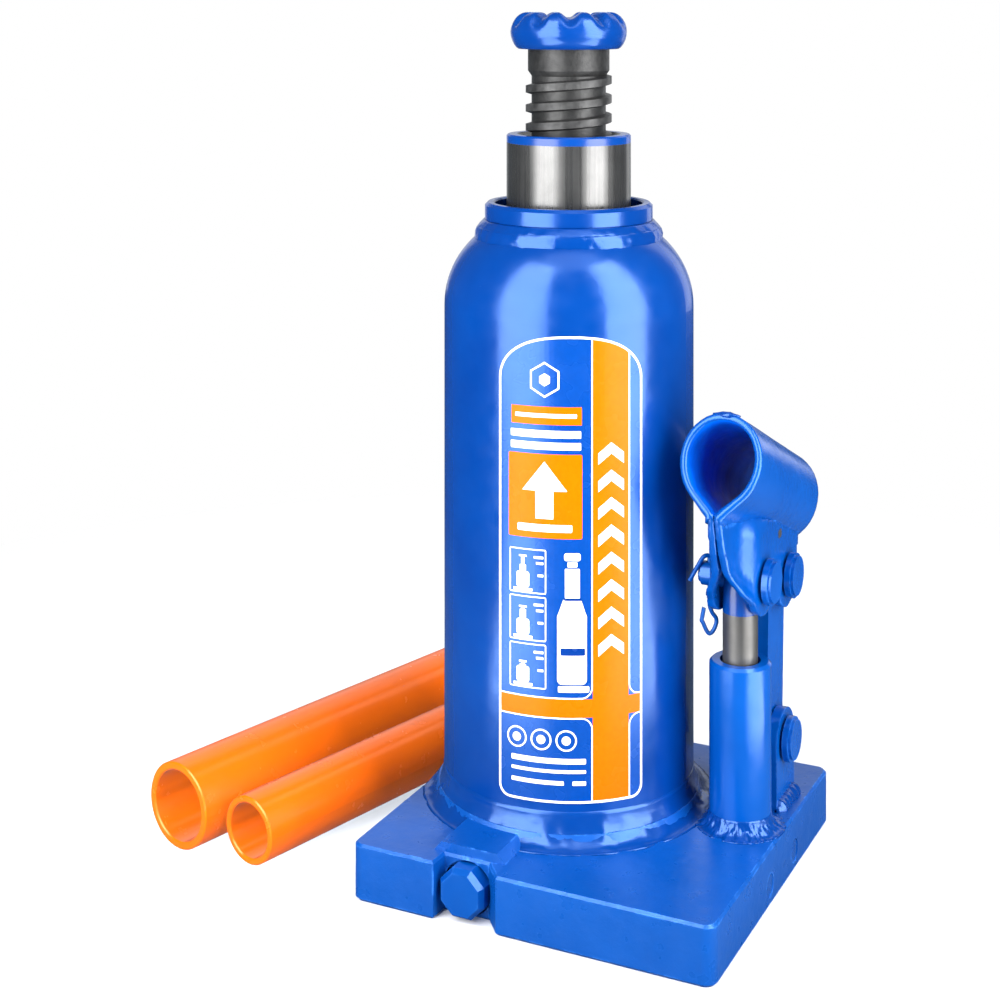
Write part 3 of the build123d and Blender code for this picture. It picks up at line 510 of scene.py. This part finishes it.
crown = enamel("saddle_enamel", cast=0.2, edge_wear_and_highlight=0.3)
hatch = crown.add("ShaderNodeTexWave", wave_type="BANDS", bands_direction="DIAGONAL")
crown.join(crown.place, hatch.inputs["Vector"])
hatch.inputs["Scale"].default_value = 620
# painted highlight: the hatched lands on the crown's top are coloured pale blue as if catching light
crown_land_highlight = crown.math("MULTIPLY", crown.remap(crown.axis(2), SADDLE_TOP - 0.12 * MM, SADDLE_TOP - 0.03 * MM),
                  crown.remap(hatch.outputs["Fac"], 0.45, 0.6))
bare_blue = crown.bsdf.inputs["Base Color"].links[0].from_socket
crown.set("Base Color", crown.mix(crown_land_highlight, bare_blue, (0.45, 0.72, 1.0)))
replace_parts(piece("saddle_rim", saddle_mesh(), "screw", crown.mat), "saddle")

# ---- handle socket: one sheet rolled into an egg-shaped tube, pinched to a neck, parted into two ears ----
SOCKET_X = PUMP.x / MM
TILT = math.radians(22.5)
MOUTH = Vector((SOCKET_X, -15.4, 108.8))
SOCKET_L = 54.0
AXIS = Vector((0, math.cos(TILT), -math.sin(TILT)))
RISE = Vector((0, math.sin(TILT), math.cos(TILT)))
SHEET = 1.75
TUBE_HALF, TUBE_RISE, TUBE_DROP = 10.35, 11.3, 12.2  # outer half width, and reach above and below the axis
NECK_LOW, NECK_RUNOUT = -15.4, 2.3  # how low the neck hangs at the mouth, and how much it rises behind
EAR_GAP = 4.6  # half the gap between the ears
PIN_PLACES = ((0.0, 75.6, 8.4), (19.0, 71.9, 8.2))  # y and z of each pin, and the lobe's radius round it
BORE_LIT_SLOT = 1  # material slot of the bore, whose paint is lightened as painted fill light


def wall_point(inset, heading):
    """A point of the tube's wall, in mm from its axis: round at the sides, taller above and below."""
    a = math.radians(heading)
    tall = TUBE_RISE if math.sin(a) > 0 else TUBE_DROP
    return (TUBE_HALF - inset) * math.cos(a), (tall - inset) * math.sin(a)


def egg(inset, steps=30):
    """The tube's section from the neck's left side over the top to its right side, in mm from its axis."""
    points = [wall_point(inset, -50 + 280 * i / steps) for i in range(steps + 1)]
    neck = [(3.2, -12.9), (2.1, -14.0), (1.95, NECK_LOW)]
    if inset:
        neck = [(1.3, -11.9), (0.5, -12.9), (0.05, -13.4)]
    return list(reversed(neck)) + points + [(-u, v) for u, v in neck]


def socket_point(u, v, along):
    return (MOUTH + Vector((u, 0, 0)) + RISE * v + AXIS * along) * MM


def socket_tube(bm):
    """Outer and inner skins, joined by a rounded lip at each end and closed along the neck."""
    outer, inner = egg(0.0), egg(SHEET)
    middle = [((a[0] + b[0]) / 2, (a[1] + b[1]) / 2) for a, b in zip(outer, inner)]
    lip = 0.45
    run = (6, 12, 20, 28, 36, 44)
    stations = [(outer, along) for along in (lip, 1.2, *run, SOCKET_L - 1.2, SOCKET_L - lip)]
    stations.append((middle, SOCKET_L))
    first_inner = len(stations)
    stations += [(inner, along) for along in (SOCKET_L - lip, *reversed(run), lip)]
    stations.append((middle, 0.0))
    grid = []
    for k, (loop, along) in enumerate(stations):
        row = []
        lowest = NECK_LOW + NECK_RUNOUT * smooth(along, 7.0, 13.0)
        for u, v in loop:
            v = max(v, lowest)
            probe = Vector((u * 0.35, v * 0.35, along * 0.12 + (9 if k >= first_inner else 0)))
            dent = 1 + 0.008 * noise.noise(probe)
            row.append(bm.verts.new(socket_point(u * dent, v * dent, along)))
        grid.append(row)
    for k in range(len(grid)):
        a, b = grid[k], grid[(k + 1) % len(grid)]
        for i in range(len(a) - 1):
            face = bm.faces.new((a[i], a[i + 1], b[i + 1], b[i]))
            face.material_index = BORE_LIT_SLOT if first_inner <= k < len(grid) - 2 else 0
    for i in (0, len(grid[0]) - 1):
        rim = [row[i] for row in grid]
        bm.faces.new(rim if i else list(reversed(rim)))


def cheek_outline():
    """The side view of one cheek as (y, z): neck edge, front lobe, back lobe, and up into the tube."""
    points = [(-20.3, 96.0), (-19.6, 92.5), (-17.6, 86.0), (-14.8, 80.2), (-11.0, 74.6)]
    front, back = ([(y + r * math.cos(math.radians(a)), z + r * math.sin(math.radians(a))) for a in sweep_of]
                   for (y, z, r), sweep_of in zip(PIN_PLACES, (range(208, 325, 9), range(205, 350, 9))))
    points += front + [(9.6, 69.6)] + back
    return points + [(28.4, 77.0), (29.0, 79.6), (28.2, 80.9), (10.0, 88.4), (-4.0, 92.6), (-9.0, 93.8),
                     (-13.0, 94.4)]


def part_half(y, z):
    """Half the gap between the cheeks: closed at the neck, open round the plunger and below."""
    back = 0.08 + 0.5 * smooth(y, -19.0, -12.5) + 4.02 * smooth(y, -12.0, -4.0)
    below = EAR_GAP * smooth(84.0 - z, 0.0, 14.0) * smooth(y, -24.0, -12.0)
    near_tube = smooth(z, 88.0, 96.0) * smooth(-y, -4.0, 8.0)
    return min(max(back, below) * (1 - 0.75 * near_tube), EAR_GAP)


def cheek(bm, hand):
    """One ear's sheet, cut into a fine mesh and bent to follow part_half; hand is its side, 1 or -1."""
    made = bmesh.new()
    face = made.faces.new([made.verts.new((0, y, z)) for y, z in cheek_outline()])
    made.normal_update()
    bmesh.ops.triangulate(made, faces=[face])
    for across, low, high in ((Vector((0, 1, 0)), -21, 30), (Vector((0, 0, 1)), 63, 98)):
        place = float(low)
        while place < high:
            everything = made.verts[:] + made.edges[:] + made.faces[:]
            bmesh.ops.bisect_plane(made, geom=everything, plane_co=across * place, plane_no=across, dist=1e-4)
            place += 1.1
    bmesh.ops.remove_doubles(made, verts=made.verts, dist=1e-3)
    rim = {v for e in made.edges if e.is_boundary for v in e.verts}
    near, far = {}, {}
    for v in made.verts:
        y, z = v.co.y, v.co.z
        gap = part_half(y, z)
        tuck = 0.35 if v in rim else 0.0
        for table, x in ((near, gap + tuck * 0.6), (far, gap + SHEET + 0.15 - tuck)):
            table[v] = bm.verts.new(((SOCKET_X + hand * x) * MM, y * MM, z * MM))
    for f in made.faces:
        loop = list(f.verts)
        bm.faces.new([far[v] for v in loop])
        bm.faces.new([near[v] for v in reversed(loop)])
    for e in made.edges:
        if e.is_boundary:
            a, b = e.verts
            bm.faces.new((near[a], near[b], far[b], far[a]))
    made.free()


def socket_mesh():
    bm = bmesh.new()
    socket_tube(bm)
    cheek(bm, 1)
    cheek(bm, -1)
    bmesh.ops.recalc_face_normals(bm, faces=bm.faces)
    return bm


socket_blue = enamel("socket_enamel", BLUE_BRIGHT, (0.0, 0.045, 0.24), cast=0.25, edge_wear_and_highlight=0.5)
# painted fill light: the bore's blue is far lighter than the outside's, standing in for light that barely
# reaches inside
bore_paint_and_fill_light = enamel("bore_paint_and_fill_light", (0.0, 0.14, 0.80), (0.0, 0.04, 0.28), rough=0.55, cast=1.0)
bore_paint_and_fill_light.set("IOR", 1.2)
sheet = piece("socket_sheet", socket_mesh(), "socket", socket_blue.mat)
sheet.data.materials.append(bore_paint_and_fill_light.mat)
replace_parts(sheet, "handle_socket")


def painted_shade_hole(name, heading, along, half_wide, half_long, sides=20):
    """A punched hole in the socket's inner wall, shown as a thin black oval laid on the wall: painted shade
    for the dark inside of the hole.
    """
    lift = 0.04
    bm = bmesh.new()
    rings = []
    for share in (0.0, 0.5, 0.85, 1.0):
        ring = []
        for i in range(1 if share == 0 else sides):
            turn = 2 * math.pi * i / sides
            across = heading + math.degrees(half_wide * share * math.cos(turn) / 10)
            where = wall_point(SHEET + (lift if share < 0.9 else -lift), across)
            ring.append(bm.verts.new(socket_point(*where, along + half_long * share * math.sin(turn))))
        rings.append(ring)
    for i in range(sides):
        k = (i + 1) % sides
        bm.faces.new((rings[0][0], rings[1][i], rings[1][k]))
        for a, b in zip(rings[1:], rings[2:]):
            bm.faces.new((a[i], b[i], b[k], a[k]))
    piece(name, bm, "socket", black_rubber)


# painted shade: a black oval stands for the hole in the bore's wall
painted_shade_hole("socket_hole_shade", -49, 3.4, 1.0, 2.3)


def slot_shade(y, z, half_wide, half_tall, count=24):
    """A small black patch with full corners on the outer face of the right ear: painted shade for the dark
    opening of a slot.
    """
    bm = bmesh.new()
    corners = []
    for i in range(count):
        a = 2 * math.pi * i / count
        bulge = 1 + 0.25 * abs(math.sin(2 * a))
        place = (SOCKET_X + EAR_GAP + SHEET + 0.2, y + half_wide * math.cos(a) * bulge,
                 z + half_tall * math.sin(a) * bulge)
        corners.append(bm.verts.new(Vector(place) * MM))
    bm.faces.new(corners)
    piece("socket_slot_mark", bm, "socket", black_rubber)


# painted shade: a black patch stands for the slot's dark opening in the right ear
slot_shade(12.3, 84.3, 1.35, 1.0)
seam = [socket_point(4.2 * math.sin(t / 8 * 2 - 1), 10.9, 0.7 + 0.25 * math.sin(t)) for t in range(9)]
bead("weld_socket_mouth", seam, RISE - AXIS * 0.4, 1.9 * MM, 0.7 * MM, "socket", blue_weld, 23)

# ---- label on the reservoir ----
LABEL_HEADING = math.radians(23.8)  # from -Y towards +X
LABEL_FOOT = BASE_TOP


def on_shell(u, v, lift):
    """A point at arc length u (mm) to the right of the label's centre and v (mm) above the base's top."""
    angle = LABEL_HEADING + u * MM / SHELL_R
    r = SHELL_R + lift
    return Vector((r * math.sin(angle), -r * math.cos(angle), LABEL_FOOT + v * MM))


def panel(u0, u1, v0, v1, corner=1.0, steps=6):
    """A rectangle with round corners, as a loop of (u, v) points."""
    loop = []
    for cu, cv, start in ((u1 - corner, v1 - corner, 0), (u0 + corner, v1 - corner, 90),
                          (u0 + corner, v0 + corner, 180), (u1 - corner, v0 + corner, 270)):
        for i in range(steps + 1):
            a = math.radians(start + 90 * i / steps)
            loop.append((cu + corner * math.cos(a), cv + corner * math.sin(a)))
    return loop


def disc(u, v, r, steps=28):
    return [(u + r * math.cos(2 * math.pi * i / steps), v + r * math.sin(2 * math.pi * i / steps))
            for i in range(steps)]


def frame_of(u0, u1, v0, v1, corner, width):
    """A closed outline as a pair of loops, outer and inner."""
    outer = panel(u0, u1, v0, v1, corner)
    inner = panel(u0 + width, u1 - width, v0 + width, v1 - width, max(corner - width, 0.05))
    return outer, inner


LABEL_LEFT, LABEL_RIGHT, LABEL_LOW, LABEL_SIDE_TOP, LABEL_TOP = -17.95, 19.05, 10.3, 113.6, 124.3


def arched(inset, low=LABEL_LOW, left=LABEL_LEFT, right=LABEL_RIGHT):
    """The label's outline: square foot with round corners and an arched top."""
    l, r, b = left + inset, right - inset, low + inset
    corner = 3.0 - min(inset, 2.0)
    loop = []
    for cu, start in ((l + corner, 180), (r - corner, 270)):
        for i in range(7):
            a = math.radians(start + 15 * i)
            loop.append((cu + corner * math.cos(a), b + corner + corner * math.sin(a)))
    for i in range(33):
        t = math.pi * i / 32
        mid, half = (l + r) / 2, (r - l) / 2
        flat = abs(math.cos(t)) ** 0.82 * math.copysign(1, math.cos(t))
        loop.append((mid + half * flat, LABEL_SIDE_TOP + (LABEL_TOP - inset - LABEL_SIDE_TOP) * math.sin(t)))
    return loop


def sticker(name, shapes, layer, material, open_ends=False):
    """Lay filled loops and outline pairs on the shell as one thin printed film.
    A pair is skinned round from its last points to its first, unless its ends are open."""
    bm = bmesh.new()
    for shape in shapes:
        if isinstance(shape, tuple):
            outer, inner = ([bm.verts.new((u, v, 0)) for u, v in loop] for loop in shape)
            for i in range(len(outer) - 1 if open_ends else len(outer)):
                k = (i + 1) % len(outer)
                bm.faces.new((outer[i], outer[k], inner[k], inner[i]))
        else:
            bm.faces.new([bm.verts.new((u, v, 0)) for u, v in shape])
    bm.normal_update()
    bmesh.ops.triangulate(bm, faces=[f for f in bm.faces if len(f.verts) > 4])
    low, high = min(v.co.x for v in bm.verts), max(v.co.x for v in bm.verts)
    for i in range(1, int((high - low) / FILM_STEP) + 1):
        everything = bm.verts[:] + bm.edges[:] + bm.faces[:]
        cut_at = (low + i * FILM_STEP, 0, 0)
        bmesh.ops.bisect_plane(bm, geom=everything, plane_co=cut_at, plane_no=(1, 0, 0), dist=1e-5)
    lift = (0.03 + FILM_RISE * layer) * MM
    for vert in bm.verts:
        vert.co = on_shell(vert.co.x, vert.co.y, lift)
    bmesh.ops.recalc_face_normals(bm, faces=bm.faces)
    for face in bm.faces:
        middle = face.calc_center_median()
        if face.normal.dot(Vector((middle.x, middle.y, 0))) < 0:
            face.normal_flip()
    obj = piece(name, bm, "root", material, shade_smooth=False)
    obj.visible_glossy = False
    solid = obj.modifiers.new("film", "SOLIDIFY")
    solid.thickness = FILM_THICK * MM
    solid.offset = 1.0


def stroke(path, width):
    """A line of even width along an open path, as a closed loop."""
    left, right = [], []
    for i, (u, v) in enumerate(path):
        (u0, v0), (u1, v1) = path[max(i - 1, 0)], path[min(i + 1, len(path) - 1)]
        du, dv = u1 - u0, v1 - v0
        size = math.hypot(du, dv)
        left.append((u - dv / size * width / 2, v + du / size * width / 2))
        right.append((u + dv / size * width / 2, v - du / size * width / 2))
    return left, right


def bend(u, v, r, start, turn=90, steps=8):
    return [(u + r * math.cos(math.radians(start + turn * i / steps)),
             v + r * math.sin(math.radians(start + turn * i / steps))) for i in range(steps + 1)]


STRIPE_L, STRIPE_R = 5.9, 15.2
CROSS_LOW, CROSS_HIGH = 31.2, 35.7
RULE, RULE_OFF = 0.32, 0.2
BOXES = (61.1, 49.5, 37.9)  # feet of the three small pictograms
MARGIN = 0.4
FILM_STEP, FILM_THICK, FILM_RISE = 1.2, 0.06, 0.05  # mm: facet, thickness, and rise of each layer


def hexagon(u, v, r):
    return [(u + r * math.sin(math.radians(60 * i)) * 0.95, v + r * math.cos(math.radians(60 * i)))
            for i in range(6)]


def label():
    """The printed label: film, orange stripe with its crossing, white rules, panels, marks and figures."""
    def top(u):
        """Height of the arch's inner edge above u."""
        mid, half = (LABEL_LEFT + LABEL_RIGHT) / 2, (LABEL_RIGHT - LABEL_LEFT) / 2
        reach = min(abs(u - mid) / half, 1.0)
        return LABEL_SIDE_TOP + (LABEL_TOP - 0.5 - LABEL_SIDE_TOP) * math.sqrt(1 - reach ** 2.44)

    sticker("label_film", [arched(0.0)], 0, film_blue)
    stripe = [(STRIPE_L, LABEL_LOW + MARGIN), (STRIPE_R, LABEL_LOW + MARGIN)]
    stripe += [(STRIPE_R - (STRIPE_R - STRIPE_L) * i / 10, top(STRIPE_R - (STRIPE_R - STRIPE_L) * i / 10))
               for i in range(11)]
    crossing = [[(LABEL_LEFT + MARGIN, CROSS_LOW), (STRIPE_L, CROSS_LOW), (STRIPE_L, CROSS_HIGH),
                 (LABEL_LEFT + MARGIN, CROSS_HIGH)],
                [(STRIPE_R, CROSS_LOW), (LABEL_RIGHT - MARGIN, CROSS_LOW), (LABEL_RIGHT - MARGIN, CROSS_HIGH),
                 (STRIPE_R, CROSS_HIGH)]]
    sticker("label_stripe", [stripe] + crossing, 1, film_orange)

    rules, r = [], 2.6
    left, right = STRIPE_L - RULE_OFF, STRIPE_R + RULE_OFF
    high, low = CROSS_HIGH + RULE_OFF, CROSS_LOW - RULE_OFF
    rules.append([(left, top(left))] + bend(left - r, high + r, r, 0, -90) + [(LABEL_LEFT + MARGIN, high)])
    edge_l, edge_r, foot = LABEL_LEFT + MARGIN, LABEL_RIGHT - MARGIN, LABEL_LOW + MARGIN
    rules.append([(right, top(right))] + bend(right + r, high + r, r, 180, 90) + [(edge_r, high)])
    rules.append([(edge_l, low)] + bend(left - r, low - r, r, 90, -90) + [(left, foot)])
    rules.append([(edge_r, low)] + bend(right + r, low - r, r, 90, 90) + [(right, foot)])
    sticker("label_rules", [stroke(path, RULE) for path in rules], 2, film_white, open_ends=True)
    sticker("label_outline", [(arched(0.0), arched(0.55))], 2, film_white)

    sticker("label_orange_panels", [panel(-14.5, 3.2, 102.6, 107.0, 0.1), panel(-15.2, 3.3, 74.8, 95.4, 0.4)],
            1, film_orange)
    marks = [panel(-14.6, 3.0, 99.4, 101.2, 0.2), panel(-14.6, 3.0, 96.5, 98.3, 0.2)]
    marks += [panel(-13.4, 2.0, 104.3, 105.3, 0.2)]
    marks += [(hexagon(-5.9, 113.6, 4.4), hexagon(-5.9, 113.6, 3.9)), hexagon(-5.9, 113.6, 1.6)]
    for v in BOXES:
        marks.append(frame_of(-14.9, -5.5, v, v + 10.9, 0.4, 0.28))
    for u in (-13.0, -6.8, -0.6):
        marks.append((disc(u, 25.6, 2.6), disc(u, 25.6, 2.2)))
        marks.append(disc(u, 25.6, 1.1))
    for v, end, tall in ((19.9, 4.2, 1.3), (17.6, 4.2, 0.8), (14.7, -1.2, 1.0)):
        marks.append(panel(-14.4, end, v, v + tall, 0.2))
    marks.append(panel(0.9, 4.2, 14.7, 15.7, 0.2))
    sticker("label_marks", marks, 3, film_white)
    sticker("label_figures", pictograms(), 3, film_white)
    sticker("label_figure_bands", [panel(-1.1, 3.1, 59.8, 60.2, 0.1), panel(-2.0, 4.0, 46.4, 48.2, 0.3)], 4,
            film_dark)


def jack_shape(u, v, size, ram, screw):
    """A plain little jack: base, body, ram and saddle as stacked panels."""
    parts = [panel(u - size * 0.5, u + size * 0.5, v, v + size * 0.14, size * 0.04),
             panel(u - size * 0.33, u + size * 0.33, v + size * 0.17, v + size * 0.95, size * 0.12)]
    top = v + size * 0.95
    parts.append([(u - size * 0.16, top + size * 0.03), (u + size * 0.16, top + size * 0.03),
                  (u + size * 0.16, top + size * (0.03 + ram)), (u - size * 0.16, top + size * (0.03 + ram))])
    top += size * (0.06 + ram)
    parts.append([(u - size * 0.09, top), (u + size * 0.09, top), (u + size * 0.09, top + size * screw),
                  (u - size * 0.09, top + size * screw)])
    top += size * (screw + 0.02)
    parts.append(panel(u - size * 0.2, u + size * 0.2, top, top + size * 0.09, size * 0.03))
    return parts


def pictograms():
    """Three small jacks for the heights, one large jack, a lifting arrow over a bar, and chevrons."""
    figures = []
    for v, ram, screw in zip(BOXES, (0.3, 0.42, 0.05), (0.34, 0.05, 0.05)):
        figures += jack_shape(-11.4, v + 0.5, 5.0, ram, screw)
        figures.append(panel(-8.6, -6.2, v + 8.6, v + 9.2, 0.1))
        figures.append(panel(-8.0, -6.2, v + 7.2, v + 7.8, 0.1))
        figures.append(panel(-7.6, -6.2, v + 4.2, v + 4.8, 0.1))
    figures += [panel(-2.6, 5.0, 37.4, 38.9, 0.3), panel(-2.8, 4.4, 39.3, 57.0, 1.2),
                [(-2.6, 56.4), (4.2, 56.4), (3.0, 60.0), (-1.3, 60.0)],
                panel(-0.9, 2.7, 60.4, 67.6, 0.2), panel(-0.3, 2.1, 68.0, 69.2, 0.2),
                panel(-1.1, 2.9, 69.5, 71.4, 0.6)]
    centre = -5.95
    figures.append([(centre - 2.2, 79.6), (centre + 2.2, 79.6), (centre + 2.2, 86.4), (centre + 5.6, 86.4),
                    (centre, 93.6), (centre - 5.6, 86.4), (centre - 2.2, 86.4)])
    figures.append(panel(centre - 6.8, centre + 6.8, 76.4, 78.2, 0.3))
    mid = (STRIPE_L + STRIPE_R) / 2
    for i in range(8):
        v = 46.0 + i * 6.7
        figures.append([(mid - 3.3, v), (mid, v + 2.6), (mid + 3.3, v), (mid + 3.3, v + 2.7), (mid, v + 5.3),
                        (mid - 3.3, v + 2.7)])
    return figures


label()


# ---- stage, light and camera ----
def flat_sheet(name, size, height, material):
    bm = bmesh.new()
    bmesh.ops.create_grid(bm, x_segments=2, y_segments=2, size=size)
    data = bpy.data.meshes.new(name)
    bm.to_mesh(data)
    bm.free()
    data.materials.append(material)
    obj = bpy.data.objects.new(name, data)
    obj.location.z = height
    bpy.context.scene.collection.objects.link(obj)
    return obj


def by_ray(shader, seen, glossy, other):
    """A grey that depends on who looks: the camera, a reflection, or bounced light."""
    ray = shader.add("ShaderNodeLightPath")
    bounced = shader.mix(ray.outputs["Is Glossy Ray"], other, glossy)
    return shader.mix(ray.outputs["Is Camera Ray"], bounced, seen)


floor_shader = Shader("floor", Roughness=0.8, Specular_IOR_Level=0.1)
pale = floor_shader.mix(floor_shader.noise(20), (0.93, 0.93, 0.93), (0.95, 0.95, 0.95))
floor_shader.set("Base Color", by_ray(floor_shader, pale, (0.09, 0.125, 0.16), (0.5, 0.5, 0.5)))
far = floor_shader.remap(floor_shader.radius(), 0.15, 0.34)
glow = floor_shader.add("ShaderNodeEmission")
far_tone = by_ray(floor_shader, (1.0, 1.0, 1.0), (0.06, 0.085, 0.11), (0.3, 0.3, 0.3))
floor_shader.join(far_tone, glow.inputs["Color"])
fade = floor_shader.add("ShaderNodeMixShader")
floor_shader.join(far, fade.inputs[0])
floor_shader.join(floor_shader.bsdf.outputs[0], fade.inputs[1])
floor_shader.join(glow.outputs[0], fade.inputs[2])
floor_shader.join(fade.outputs[0], floor_shader.tree.nodes["Material Output"].inputs["Surface"])
flat_sheet("floor", 8.0, 0.0, floor_shader.mat)

world = bpy.data.worlds.new("studio")
bpy.context.scene.world = world
world.use_nodes = True
tree = world.node_tree
background = tree.nodes["Background"]
ray = tree.nodes.new("ShaderNodeLightPath")
pick = tree.nodes.new("ShaderNodeMix")
pick.data_type = "RGBA"
tree.links.new(ray.outputs["Is Camera Ray"], pick.inputs[0])
pick.inputs[6].default_value = (0.10, 0.125, 0.15, 1)
pick.inputs[7].default_value = (1, 1, 1, 1)
tree.links.new(pick.outputs[2], background.inputs["Color"])
background.inputs["Strength"].default_value = 1.0

VIEW_HEADING = math.radians(26)


def softbox(name, heading, distance, low, wide, tall, power, tilt=0.0):
    """A rectangular soft light at a heading from the camera's side, positive to the right.
    It stands on its lower edge; a tilt of 90 degrees lays it on the floor, facing up."""
    angle = VIEW_HEADING + math.radians(heading)
    out = Vector((math.sin(angle), -math.cos(angle), 0))
    lean = math.radians(tilt)
    up = Vector((0, 0, 1)) * math.cos(lean) + out * math.sin(lean)
    facing = Vector((0, 0, 1)) * math.sin(lean) - out * math.cos(lean)
    data = bpy.data.lights.new(name, "AREA")
    data.shape = "RECTANGLE"
    data.size, data.size_y, data.energy = wide, tall, power
    obj = bpy.data.objects.new(name, data)
    side = up.cross(-facing)
    turn = Matrix((side, up, -facing)).transposed().to_4x4()
    obj.matrix_world = Matrix.Translation(out * distance + Vector((0, 0, low)) + up * tall / 2) @ turn
    obj.visible_camera = False
    bpy.context.scene.collection.objects.link(obj)


softbox("strip_left", -44, 0.42, 0.01, 0.34, 0.9, 8.0)
softbox("strip_right", 50, 0.42, 0.01, 0.30, 0.9, 8.0)
softbox("strip_left_floor", -44, 0.13, 0.004, 0.14, 0.29, 0.9, 90)
softbox("strip_right_floor", 54, 0.13, 0.004, 0.14, 0.29, 0.9, 90)
softbox("rim_right", 140, 0.6, 0.05, 0.2, 0.9, 0.6)
softbox("back_fill", 180, 0.8, 0.05, 0.7, 0.8, 1.2)
softbox("top_fill", 5, 0.5, 0.9, 0.8, 0.6, 3.0, -35)

bpy.context.scene.view_settings.view_transform = "Standard"
CAMERA_AT = Vector((188.8, -428.2, 218.0)) * MM
LENS, SENSOR = 64.15, 36.0  # mm
LENS_SHIFT = -0.49  # the view camera's lens is shifted down, so that uprights stay upright
camera = bpy.data.cameras.new("camera")
camera.lens, camera.sensor_width = LENS, SENSOR
camera.clip_start = 0.01
camera_object = bpy.data.objects.new("camera", camera)
camera_object.location = CAMERA_AT
camera_object.rotation_mode = "XYZ"
camera_object.rotation_euler = (math.radians(90), 0, VIEW_HEADING)
bpy.context.scene.collection.objects.link(camera_object)
bpy.context.scene.camera = camera_object
# The shift belongs to this viewpoint alone: the curve gives it for a camera turned by Euler angles
# (mode 1) and nothing for one turned by quaternion (mode 0).
curve = camera.driver_add("shift_y")
curve.driver.type = "SUM"
mode = curve.driver.variables.new()
mode.type = "SINGLE_PROP"
mode.targets[0].id = camera_object
mode.targets[0].data_path = "rotation_mode"
while curve.modifiers:
    curve.modifiers.remove(curve.modifiers[0])
for place, amount in ((0, 0.0), (1, LENS_SHIFT)):
    curve.keyframe_points.insert(place, amount).interpolation = "LINEAR"
